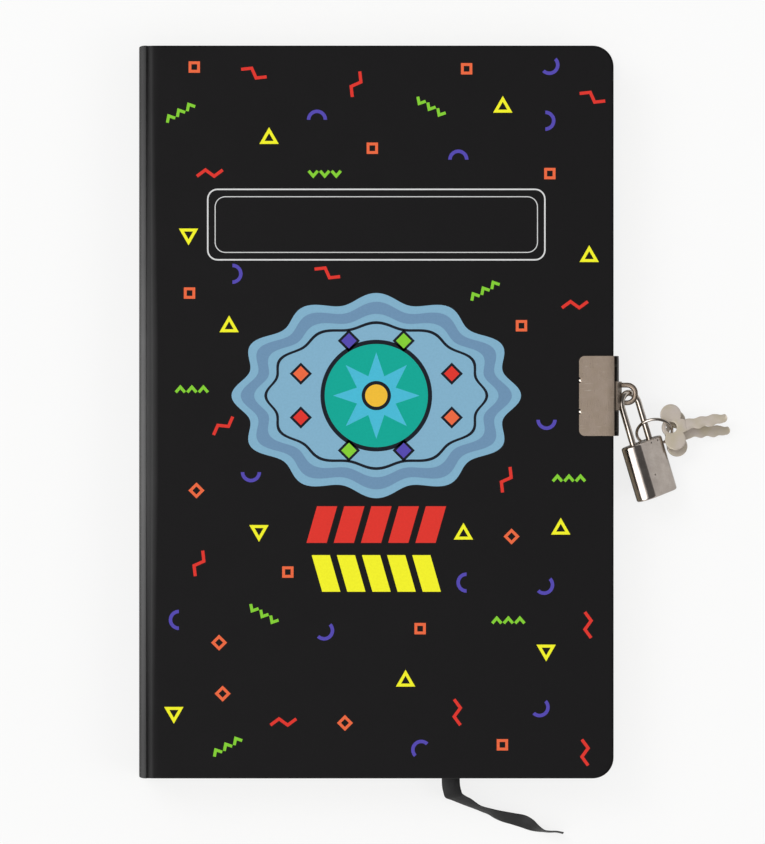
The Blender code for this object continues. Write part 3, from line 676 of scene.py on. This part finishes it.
def printCover(p):
    pads = {name: [] for name in ink}
    random = np.random.default_rng(p["seeds"][1])
    for spot, kind in dealKinds(scatter(p["count"], p["spacing"], p["seeds"][0])):
        draw, _, turns = motifs[kind]
        pads[kind] += draw(spot, float(random.choice(turns)))

    # medallion: a scalloped plaque, then rings, a disc and a star on it
    a = np.linspace(0, 2 * pi, 240, endpoint=False)
    middle = p["middle"]

    def scallop(half, high, wave):
        r = 1 + wave * np.cos(12 * a)
        return np.stack((half * r * np.cos(a), middle + high * r * np.sin(a)), axis=1)

    def disc(radius, count=90):
        return regular(count, radius, 0, (0, middle))

    pads["sky"].append(inkPad(scallop(39.5, 28, 0.05)))
    pads["shade"].append(inkRing(scallop(37, 25.6, 0.05), scallop(33.5, 22.4, 0.045), 1))
    pads["dark"] += [inkRing(scallop(31, 20.6, 0.035), scallop(30.2, 19.8, 0.035), 1), inkPad(disc(16), 1)]
    pads["teal"].append(inkPad(disc(14.8), 2))
    reach = np.where(np.arange(16) % 2, 6, 12.4)
    points = np.linspace(0, 2 * pi, 16, endpoint=False)
    star = np.stack((reach * np.cos(points), middle + reach * np.sin(points)), axis=1)
    pads["cyan"].append(inkPad(star, 3))
    pads["dark"].append(inkPad(disc(4.2, 40), 4))
    pads["amber"].append(inkPad(disc(3.2, 40), 5))
    for k, kind in enumerate(("red", "green", "violet", "orange") * 2):
        t = 2 * pi * (k + 0.5) / 8
        wide, high = (23.4, 16.4) if abs(cos(t)) > 0.6 else (20.5, 17)
        at = (wide * cos(t), middle + high * sin(t))
        pads["dark"].append(inkPad(regular(4, 3.2, 0, at), 1))
        pads[kind].append(inkPad(regular(4, 2.2, 0, at), 2))

    # blank name plate: two thin lines round an empty field
    half, low, high = p["plate"]
    for inset, line in p["plateLines"]:
        loops = [outline(-half + e, half - e, low + e, high - e, corner, corner, 8)
                 for e, corner in ((inset, p["plateCorner"]), (inset + line, p["plateCorner"] - line))]
        pads["white"].append(inkRing(*loops))
    # two rows of slanted blocks
    for kind, low, lean, half in p["bars"]:
        step, high = 2 * half / 5, low + p["barHeight"]
        for x in np.arange(5) * step - half:
            end = x + step - p["barGap"]
            loop = np.array(((x, low), (end, low), (end + lean, high), (x + lean, high)))
            pads[kind].append(inkPad(loop - ((lean - p["barGap"]) / 2, 0)))
    for name, shells in pads.items():
        makePiece(name + "Ink", shells, matLaminate("offsetInk" + name.title(), ink[name], 0.03),
                  "front_cover", sharp=30)


printCover(printing)
print("motifs are printed")


pages = {
    "back": -64.4, "fore": 65, "half": 102, "corner": 3,
    "first": 3.5, "pitch": 1, "section": 0.9, "sheets": 8, "uneven": 0.14, "pinch": 0.06, "fold": 0.4,
    "leaf": 0.2, "leaves": (7.8, 8.1, 8.5, 8.8),
    "band": (3.2, 7.4), "bead": 0.74, "swell": 0.06, "thread": 0.9,
}


# Only the flat faces are ruled; the trimmed edges take the plain paper
def plainEdges(piece):
    piece.data.materials.append(finish["edges"])
    normals = np.empty(len(piece.data.polygons) * 3, dtype=np.float32)
    piece.data.polygons.foreach_get("normal", normals)
    edge = (np.abs(normals[2::3]) < 0.98).astype(np.int32)
    piece.data.polygons.foreach_set("material_index", edge)


# One sheet's outline, trimmed by e, with its fold at the spine drawn in
def sheetLoop(p, z, e=0.0, fold=0.0):
    return atHeight(outline(p["back"] + fold, p["fore"] - e, -p["half"] + e * 0.7, p["half"] - e * 0.7,
                            0.05, p["corner"] - e, 6), z)


# A gathering: an outline that steps in and out by a few hundredths at each sheet's edge
def foldedSection(p, number, low, body):
    random = np.random.default_rng(100 + number)
    rows = []
    for k in range(p["sheets"]):
        offset = random.uniform(0, p["uneven"])
        for share, inset in ((0.04, p["pinch"]), (0.3, 0), (0.7, 0), (0.96, p["pinch"])):
            z = (k + share) * p["section"] / p["sheets"]
            lift = abs(z / p["section"] - 0.5) * 2
            rows.append(sheetLoop(p, low + z, offset + inset, p["fold"] * (1 - (1 - lift ** 3) ** 0.5)))
    plainEdges(makePiece(f"gathering{number}", [tube(rows)], finish["page"], body,
                         [f"section_{number}"]))


def singleLeaf(p, number, low):
    sheet = tube([sheetLoop(p, low), sheetLoop(p, low + p["leaf"])])
    plainEdges(makePiece(f"singleLeaf{number}", [sheet], finish["page"], f"leaf_{number}",
                         [f"leaf_{number}"]))


for k in range(4):
    height = pages["first"] + k * pages["pitch"]
    foldedSection(pages, k + 1, height, "root")
    foldedSection(pages, 8 - k, top - height - pages["section"], "front_block")
for k, low in enumerate(pages["leaves"]):
    singleLeaf(pages, k + 1, low)


# A bead wound with thread: radius swells a little at each turn
def headBand(p, end, half, low, high, body):
    y = (1 if end == "head" else -1) * (p["half"] + 0.9)
    z = np.linspace(low, high, 61)[:, None]
    a = np.linspace(0, 2 * pi, 20, endpoint=False)
    radius = p["bead"] + p["swell"] * np.abs(np.sin((z * 2 * pi / p["thread"] + a) / 2))
    rows = np.stack((p["back"] + 0.8 + radius * np.cos(a), y + radius * np.sin(a),
                     np.broadcast_to(z, radius.shape)), axis=-1)
    makePiece(f"{end}Band{half.title()}", [tube(rows)], finish["band"], body,
              [f"{end}_band_{half}"], sharp=60)


for end in ("head", "tail"):
    low, high = pages["band"]
    headBand(pages, end, "back", low, high, "root")
    headBand(pages, end, "front", top - high, top - low, "front_block")
print("block is gathered")


ribbon = {
    "width": 5.4, "thickness": 0.2, "exit": (21.3, -102.1, 7.6),
    "path": [  # middle, then the heading and the lean of the width line, in degrees
        (21.3, -102.1, 7.6, 0, 0), (21.4, -105.1, 7.6, 0, 0), (21.5, -107.5, 7.2, 3, 2),
        (21.9, -109.4, 6.5, 6, 4), (22.4, -110.6, 5.5, 11, 12), (23.9, -111.4, 4.5, 16, 36),
        (25.8, -112.3, 3.5, 27, 51), (27.7, -113.3, 2.7, 40, 64), (29.3, -114.1, 2.3, 56, 71),
        (30.8, -114.7, 2.3, 70, 71), (32.6, -115.3, 2.2, 76, 68), (34.5, -116.1, 2.0, 76, 60),
        (36.8, -116.8, 1.9, 74, 53), (39.4, -117.4, 1.8, 72, 49), (42.2, -118.1, 1.6, 71, 44),
        (44.5, -119.1, 1.8, 73, 50), (46.5, -120.2, 2.2, 76, 68), (48.3, -120.9, 2.4, 80, 81),
        (50.0, -121.1, 2.4, 86, 83), (51.9, -121.1, 2.4, 87, 84), (53.9, -121.5, 2.4, 80, 83),
    ],
    "inside": [(-61.7, 100, 7.6, 24, 0), (-20, 10, 7.6, 24, 0), (20.3, -90, 7.6, 6, 0),
               (21.2, -98, 7.6, 2, 0), (21.3, -102, 7.6, 0, 0)],
}


# Points between the given ones, on a smooth cubic through them
def throughPoints(points, count):
    p = np.asarray(points, float)
    p = np.vstack((2 * p[0] - p[1], p, 2 * p[-1] - p[-2]))
    t = np.linspace(0, len(p) - 3 - 1e-9, count)
    k, u = t.astype(int), (t % 1)[:, None]
    a, b, c, d = p[k], p[k + 1], p[k + 2], p[k + 3]
    curve = 2 * b + (c - a) * u + (2 * a - 5 * b + 4 * c - d) * u ** 2 + (3 * b - a - 3 * c + d) * u ** 3
    return 0.5 * curve


# A flat strip: its width line points by heading and lean, and its edges curl a little
def ribbonSkin(course, width, thickness):
    line = course[:, :3]
    heading, lean = np.radians(course[:, 3]), np.radians(course[:, 4])
    ahead = np.gradient(line, axis=0)
    wide = np.stack((np.cos(lean) * np.cos(heading), np.cos(lean) * np.sin(heading), np.sin(lean)), axis=1)
    thick = np.cross(wide, ahead)
    thick /= np.linalg.norm(thick, axis=1, keepdims=True)
    u = np.linspace(-1, 1, 15)
    u = np.concatenate((u, u[::-1]))
    side = np.repeat((1, -1), 15) * thickness / 2
    curl = 0.9 * (u ** 2 - 0.3) * thickness
    return (line[:, None] + wide[:, None] * (u * (width - thickness) / 2)[None, :, None]
            + thick[:, None] * (side + curl)[None, :, None]), u


def layUv(piece, u, length):
    # across in units of the half width, along in millimetres
    uv = piece.data.uv_layers.new(name="lay")
    loops = np.empty(len(piece.data.loops), dtype=np.int32)
    piece.data.loops.foreach_get("vertex_index", loops)
    pairs = np.stack((np.tile(u, len(length)), np.repeat(length, len(u))), axis=1)
    uv.data.foreach_set("uv", pairs[loops].ravel().astype(np.float32))


def laidRibbon(name, points, count, stands):
    course = throughPoints(points, count)
    rings, u = ribbonSkin(course, ribbon["width"], ribbon["thickness"])
    piece = makePiece(name, [tube(rings)], finish["ribbon"], "root", stands)
    steps = np.linalg.norm(np.diff(course[:, :3], axis=0), axis=1)
    layUv(piece, u, np.concatenate(([0], np.cumsum(steps))))
    return piece, course[:, :3], float(steps.sum())


ribbonEnd, ribbonLine, ribbonLength = laidRibbon("ribbonEnd", ribbon["path"], 201, ["ribbon_tail"])
laidRibbon("ribbonRun", ribbon["inside"], 81, ["ribbon_inner"])
print("ribbon is laid")


hasp = {
    "middle": 4.6, "length": 22.9, "left": 58.1, "thickness": 0.5, "lift": 0.6, "corner": 1.6,
    "flatEnd": 68.0, "bend": 1.15, "drop": 2.4, "slant": 11, "notch": 0.8, "notchSpacing": 9, "tab": 8.3,
    "loopWidth": 6.5, "loopEnd": 75.2, "loopBand": 1.4, "loopThick": 0.8, "loopMiddle": 0.6, "loopRound": 3,
    "frontLoop": 9.0, "backLoop": 3.9, "soft": 0.09,
    "rootAt": (69.0, 69.9), "barStart": 69.2, "barRound": 0.39, "flangeEnd": 70, "ease": 0.4,
    "prong": 0.62, "prongAt": 0.5, "prongFoot": 0.05, "prongRise": 0.5,
}


# Sheet bent over the fore-edge: flat, then an arc, then down at a slant; reach is the length of that
# last run for each row. s is the length along the outer face, and the inner face lies inside it.
def bentSheet(h, y, startAt, reach):
    flat = h["flatEnd"] - h["left"]
    sweep = radians(90 - h["slant"])
    round_ = h["bend"] * sweep
    share = np.concatenate((np.linspace(0, 1, 6), np.linspace(1, 2, 11)[1:], np.linspace(2, 3, 5)[1:]))
    rows = []
    for yk, begin, far in zip(y, startAt, reach):
        s = np.interp(share, (0, 1, 2, 3), (begin, flat, flat + round_, flat + round_ + far))
        a = np.clip((s - flat) / h["bend"], 0, sweep)
        past = np.clip(s - flat - round_, 0, None)
        x = h["left"] + np.minimum(s, flat) + h["bend"] * np.sin(a) + past * cos(sweep)
        z = top + h["lift"] - h["bend"] * (1 - np.cos(a)) - past * sin(sweep)
        normal = np.stack((np.sin(a), np.cos(a)), axis=1) * h["thickness"]
        face = np.stack((x, z), axis=1)
        loop = np.concatenate((face, (face - normal)[::-1]))
        rows.append(np.column_stack((loop[:, 0], np.full(len(loop), yk), loop[:, 1])))
    return tube(rows)


def haspShells(h, loopZ):
    low, high = h["middle"] - h["length"] / 2, h["middle"] + h["length"] / 2
    tabLow, tabHigh = h["middle"] - h["tab"] / 2, h["middle"] + h["tab"] / 2
    notches = [h["middle"] - h["notchSpacing"] / 2, h["middle"] + h["notchSpacing"] / 2]
    corner = h["corner"] * (1 - np.cos(np.linspace(0, pi / 2, 9)))
    near = np.concatenate([n + h["notch"] * np.sin(np.linspace(-pi / 2, pi / 2, 17)) for n in notches])
    edges = np.concatenate([(n - h["notch"] - 0.01, n + h["notch"] + 0.01) for n in notches])
    y = np.unique(np.concatenate((low + corner, high - corner, near, edges, np.linspace(low, high, 25),
                                  (tabLow - 0.02, tabLow, tabHigh, tabHigh + 0.02))))
    inY = np.minimum(y - low, high - y).clip(0, h["corner"])
    start = h["corner"] - np.sqrt(np.maximum(h["corner"] ** 2 - (h["corner"] - inY) ** 2, 0))
    for n in notches:
        start = np.maximum(start, np.sqrt(np.maximum(h["notch"] ** 2 - (y - n) ** 2, 0)))
    # the middle of the flange runs on down as the tab, to the foot of the loop
    deep = top + h["lift"] - h["bend"] - (loopZ - h["loopThick"] / 2)
    eased = h["drop"] - h["ease"] * (1 - inY / h["corner"]).clip(0) ** 2
    reach = np.where((y >= tabLow) & (y <= tabHigh), deep, eased)
    shells = [bentSheet(h, y, start, reach)]
    # loop: a rounded bar carried out from the tab and back
    half = (h["loopWidth"] - h["loopBand"]) / 2
    middle = h["middle"] + h["loopMiddle"]
    r = h["loopRound"] - h["loopBand"] / 2
    far = h["loopEnd"] - h["loopBand"] / 2 - r
    foot = h["barStart"]
    path = np.concatenate((np.linspace((foot, middle - half), (far - 0.3, middle - half), 7),
                           arc(far, middle - half + r, r, -90, 0, 12),
                           arc(far, middle + half - r, r, 0, 90, 12),
                           np.linspace((far - 0.3, middle + half), (foot, middle + half), 7)))
    section = barProfile(h["loopBand"], h["loopThick"], h["barRound"])
    shells.append(tube(carry(atHeight(path, loopZ), section, (0, 0, 1.0))))
    root = outline(*h["rootAt"], middle - h["loopWidth"] / 2, middle + h["loopWidth"] / 2, 0.1, 0.3, 4)
    shells.append(tube([atHeight(root, loopZ + k * h["loopThick"] / 2) for k in (-1, 1)]))
    # two bent prongs stand over the notches
    dome = [(h["prong"] * cos(t) + 0.02, top + h["prongFoot"] + h["prongRise"] * sin(t))
            for t in np.radians(np.linspace(0, 90, 6))]
    for n in notches:
        shells.append(tube([atHeight(circleProfile(radius, 20) + (h["left"] + h["prongAt"], n), z)
                            for radius, z in dome]))
    return shells


def flipped(shells):
    # mirrored to the back cover
    return [(points * (1, 1, -1) + (0, 0, top), faces) for points, faces in shells]


# The bend and flange beside the tab are painted near black as a painted dark reflection; the two prongs
# take the lighter wire nickel as a painted highlight
def tintHasp(piece, h):
    piece.data.materials.append(finish["flange"])
    piece.data.materials.append(finish["wire"])
    count = len(piece.data.polygons)
    normals, middles = np.empty(count * 3, dtype=np.float32), np.empty(count * 3, dtype=np.float32)
    piece.data.polygons.foreach_get("normal", normals)
    piece.data.polygons.foreach_get("center", middles)
    x, y, z = middles.reshape(-1, 3).T / mm
    bend = (x > h["flatEnd"]) & (x < h["flangeEnd"])
    beside = bend & (normals[::3] > 0.3) & (np.abs(y - h["middle"]) > h["tab"] / 2)
    level = np.abs(z - top / 2) - top / 2
    off = np.abs(y - h["middle"]) - h["notchSpacing"] / 2
    prong = (np.hypot(x - h["left"] - h["prongAt"], off) < h["prong"] + 0.04) & (level > 0.06)
    prong &= (np.abs(off) < 0.63) & (x < h["left"] + 1.2)
    slots = np.where(prong, 2, np.where(beside, 1, 0)).astype(np.int32)
    piece.data.polygons.foreach_set("material_index", slots)


def makeHasp(name, shells, body, stands):
    piece = makePiece(name, shells, finish["hasp"], body, stands)
    tintHasp(piece, hasp)
    roundEdges(piece, hasp["soft"])


makeHasp("frontHaspPlate", haspShells(hasp, hasp["frontLoop"]), "front_cover", ["front_hasp"])
makeHasp("backHaspPlate", flipped(haspShells(hasp, top - hasp["backLoop"])), "root", ["back_hasp"])
print("hasps are stamped")


lock = {
    "middle": (78.5, -16.3, 7.35), "lean": 16.7, "slope": 4, "roll": 46,
    "width": 14.8, "depth": 6.7, "height": 16.2, "edge": 0.6, "wire": 1.8, "spacing": 7.4, "rise": 15.5,
    "longLeg": 9.2, "shortLeg": 4.8, "boreGap": 0.25, "plug": 4.4, "base": 0.6, "rim": 0.7,
    "latch": 3.2, "boltThick": 0.8, "boltWidth": 3.6, "noseWidth": 1.2, "pinReach": 1.2, "notchReach": 0.65,
    "pocket": (-2.65, 2.15), "noseWay": (-3.7, -1.6), "notch": 0.6,
    "dents": [(0.3, 7.2), (3.2, 7.2), (-2, -1.8)],
}


def lockFrame(l):
    plan = Matrix.Rotation(radians(l["lean"]), 3, "Z")
    slope = radians(l["slope"])
    along = plan @ Vector((0, 1, 0)) * cos(slope) + Vector((0, 0, 1)) * sin(slope)
    across = Matrix.Rotation(radians(l["roll"]), 3, along) @ (plan @ Vector((1, 0, 0)))
    frameOf = Matrix((across, along.cross(across), along)).transposed().to_4x4()
    return Matrix.Translation(Vector(l["middle"]) * mm) @ frameOf


lockPlace = lockFrame(lock)
caseTop = lock["height"] / 2


# A flat-sided outline with two round ends
def stadium(halfLength, halfDepth, count=24):
    middle = halfLength - halfDepth
    return np.concatenate((arc(middle, 0, halfDepth, -90, 90, count),
                           arc(-middle, 0, halfDepth, 90, 270, count)))


def pillar(radius, low, high, x=0.0, count=40):
    loop = circleProfile(radius, count) + (x, 0)
    return tube([atHeight(loop, low), atHeight(loop, high)])


def block(x, halfDepth, low, high):
    loop = np.array(((x[0], -halfDepth), (x[1], -halfDepth), (x[1], halfDepth), (x[0], halfDepth)))
    return tube([atHeight(loop, low), atHeight(loop, high)])


def inLock(shells):
    return [(placed(points, lockPlace), faces) for points, faces in shells]


def makeCase(l):
    half, deep, e = l["width"] / 2, l["depth"] / 2, l["edge"]
    turn = np.radians(np.linspace(0, 90, 6))

    def ring(z, inset):
        return atHeight(stadium(half - inset, deep - inset), z)

    rows = [ring(-caseTop + l["base"] + 0.1, l["rim"]), ring(-caseTop, l["rim"])]
    rows += [ring(-caseTop + e * (1 - sin(a)), e * (1 - cos(a))) for a in turn[::-1]]
    rows += [ring(z, 0) for z in np.linspace(-caseTop + e + 1, caseTop - e - 1, 5)]
    rows += [ring(caseTop - e * (1 - sin(a)), e * (1 - cos(a))) for a in turn]
    piece = makePiece("padlockCase", inLock([tube(rows)]), finish["case"], "lock_case",
                      ["lock_case"])
    # small knocks in the front face: shallow cups, drawn from outside inwards
    cups = []
    for x, z in l["dents"]:
        loops = [circleProfile(r, 16) + (x, z) for r in (0.36, 0.36, 0.1)]
        cups.append(tube([np.column_stack((p[:, 0], np.full(16, y - deep), p[:, 1]))
                          for p, y in zip(loops, (-0.5, 0.02, 0.14))]))
    leg, gap = l["spacing"] / 2, l["boreGap"]
    bore = l["wire"] / 2 + gap
    cutHoles(piece, inLock(cups + [pillar(bore, caseTop - l["longLeg"] - gap, caseTop + 1, leg),
                                   pillar(bore, caseTop - l["shortLeg"] - gap, caseTop + 1, -leg),
                                   pillar(l["plug"] / 2 + 0.15, -caseTop - 1, 2.15)]))
    # one at a time, because they cross: the pin's way, the bolt's pocket and its nose's way
    latch, reach = caseTop - l["latch"], l["boltThick"] / 2 + gap
    low, high = latch - reach, latch + reach
    for shell in (pillar(l["pinReach"] + gap, 2, latch),
                  block(l["pocket"], l["boltWidth"] / 2 + gap, low, high),
                  block(l["noseWay"], l["noseWidth"] / 2 + gap, low + 0.05, high - 0.05)):
        cutHoles(piece, inLock([shell]))


# A round wire along two legs and a half circle; the short leg is cut away on its inner side
def makeShackle(l):
    x, r = l["spacing"] / 2, l["wire"] / 2
    bend = caseTop + l["rise"] - r - x
    latch, tip = caseTop - l["latch"], caseTop - l["shortLeg"]
    low, high = latch - l["notchReach"], latch + l["notchReach"]
    short = np.array((tip, tip + 0.15, low - 0.001, low, high, high + 0.001))
    short = np.concatenate((short, np.linspace(caseTop - 1, bend - 0.2, 8)))
    left = np.column_stack((np.full(len(short), -x), np.zeros(len(short)), short))
    a = np.linspace(pi, 0, 33)
    over = np.column_stack((x * np.cos(a), np.zeros(33), bend + x * np.sin(a)))
    down = np.linspace(bend - 0.2, caseTop - l["longLeg"], 12)
    right = np.column_stack((np.full(12, x), np.zeros(12), down))
    path = np.concatenate((left, over, right))
    profile = np.broadcast_to(circleProfile(r, 28), (len(path), 28, 2)).copy()
    profile[0] *= 0.8
    profile[-1] *= 0.8
    rings = carry(path, profile, (0, 1.0, 0))
    rings[:, :, 2] = np.where(np.abs(path[:, 0:1] + x) < 1e-6, path[:, 2:3], rings[:, :, 2])
    rings[3:5, :, 0] = np.minimum(rings[3:5, :, 0], -x + r - l["notch"])
    makePiece("shackleBow", inLock([tube(rings)]), finish["wire"], "shackle", ["shackle"])


makeCase(lock)
makeShackle(lock)
print("padlock is cut")


keyring = {"radius": 5.1, "wire": 0.84, "offset": (2.13, -0.71, 1.3), "turn": 5.5, "tilt": 43.9}
key = {
    "thick": 0.8, "hole": 1.6, "lobe": 3.0, "spacing": 7.4, "shift": 0.5, "length": 16.4, "blade": 3.4,
    "neck": 2.6, "tooth": 0.5, "teeth": 3, "upperShare": 0.6, "tip": 2.6, "taper": 0.3,
    "places": [(13.1, 0, 10, -2.7, -6.3), (-13.3, 0.79, 3.1, -10, -6)],
}


def ringFrame(k):
    x, y, z = k["offset"]
    shift = Vector((lock["spacing"] / 2 + x, y, caseTop + z)) * mm
    return (Matrix.Translation(lockPlace @ shift) @ Matrix.Rotation(radians(k["turn"]), 4, "Z")
            @ Matrix.Rotation(radians(k["tilt"]), 4, "X"))


ringPlace = ringFrame(keyring)


def makeRing(k):
    a = np.linspace(0, 2 * pi, 96, endpoint=False)
    path = np.column_stack((k["radius"] * np.cos(a), k["radius"] * np.sin(a), np.zeros(96)))
    rings = carry(path, circleProfile(k["wire"] / 2, 16), (0, 0, 1.0), closed=True)
    points, faces = loopSkin(rings)
    makePiece("keyRingWire", [(placed(points, ringPlace), faces)], finish["wire"], "key_ring",
              ["key_ring"])


# Bow: a skin round the hole whose outer radius follows two lobes; each row goes over the top,
# round the rim and back underneath. Blade: a bar whose edges dip in by a squared sine between the teeth.
def keyShells(k):
    half, lobeY, t = k["blade"] / 2, k["spacing"] / 2, k["thick"] / 2
    shoulder = k["hole"] + k["neck"]
    rim = np.concatenate((np.array(((shoulder, 0.0), (shoulder, half))),
                          arc(k["shift"], lobeY, k["lobe"], -33, 215, 60),
                          arc(k["shift"], -lobeY, k["lobe"], -215, 33, 60), np.array(((shoulder, -half),))))
    angle = np.unwrap(np.arctan2(rim[:, 1], rim[:, 0]))
    distance = np.linalg.norm(rim, axis=1)
    a = np.linspace(0, 2 * pi, 180, endpoint=False)
    order = np.argsort(angle % (2 * pi))
    outer = np.interp(a, (angle % (2 * pi))[order], distance[order], period=2 * pi)
    share = np.array((0, 0.04, 0.1, 0.5, 0.9, 0.96, 1.0))
    edge = np.array((0.8, 0.97, 1, 1, 1, 0.97, 0.8)) * t
    share = np.concatenate((share, share[::-1]))
    edge = np.concatenate((edge, -edge[::-1]))
    radius = k["hole"] + (outer[:, None] - k["hole"]) * share[None]
    bow = np.stack((radius * np.cos(a)[:, None], radius * np.sin(a)[:, None],
                    np.broadcast_to(edge, radius.shape)), axis=-1)
    shells = [loopSkin(bow)]
    pitch = (k["length"] - shoulder) / (k["teeth"] + 0.35)
    x = np.linspace(shoulder - 0.6, k["length"], 140)
    wave = np.sin((x - shoulder) * pi / pitch) ** 2 * (x > shoulder)
    lower = -half + k["tooth"] * wave
    upper = half - k["upperShare"] * k["tooth"] * np.roll(wave, 10)
    taper = 1 - k["taper"] * np.clip((x - k["length"] + k["tip"]) / 1.2, 0, 1)
    upper, lower = upper * taper, lower * taper
    round_ = np.clip((k["length"] - x) / (0.5 * half), 0, 1)
    nose = np.sqrt(1 - (1 - round_) ** 2) * 0.98 + 0.02
    upper, lower = upper * nose, lower * nose
    v = np.array((0, 0.08, 0.5, 0.92, 1, 1, 0.92, 0.5, 0.08, 0))
    z = np.array((0.75, 1, 1, 1, 0.75, -0.75, -1, -1, -1, -0.75)) * t * 0.98
    z[[2, 7]] *= 0.55
    across = lower[:, None] + (upper - lower)[:, None] * v[None]
    rows = np.stack((np.broadcast_to(x[:, None], across.shape), across,
                     np.broadcast_to(z, across.shape)), axis=-1)
    shells.append(tube(rows))
    return shells


def makeKeys(k):
    for number, (angle, offset, heading, slope, roll) in enumerate(k["places"], 1):
        reach = keyring["radius"] + offset
        at = ringPlace @ (Vector((cos(radians(angle)), sin(radians(angle)), 0)) * reach * mm)
        place = (Matrix.Translation(at) @ Matrix.Rotation(radians(heading), 4, "Z")
                 @ Matrix.Rotation(radians(-slope), 4, "Y") @ Matrix.Rotation(radians(roll), 4, "X"))
        shells = [(placed(points, place), faces) for points, faces in keyShells(k)]
        makePiece(f"sheetKey{number}", shells, finish["key"], f"key_{number}",
                  [f"key_{number}"])


makeRing(keyring)
makeKeys(key)
print("keys hang on their ring")


def dress(names, material):
    for name in names:
        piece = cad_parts[name]
        piece.data.materials.clear()
        piece.data.materials.append(material)


dress(["front_board", "back_board", "spine_board"], finish["board"])
dress(["front_pastedown", "back_pastedown", "front_flyleaf", "back_flyleaf"], finish["endpaper"])
dress(["spine_lining_back", "spine_lining_front"], finish["gauze"])
dress(["lock_base"], finish["case"])
dress(["key_plug", "locking_bolt"], finish["works"])
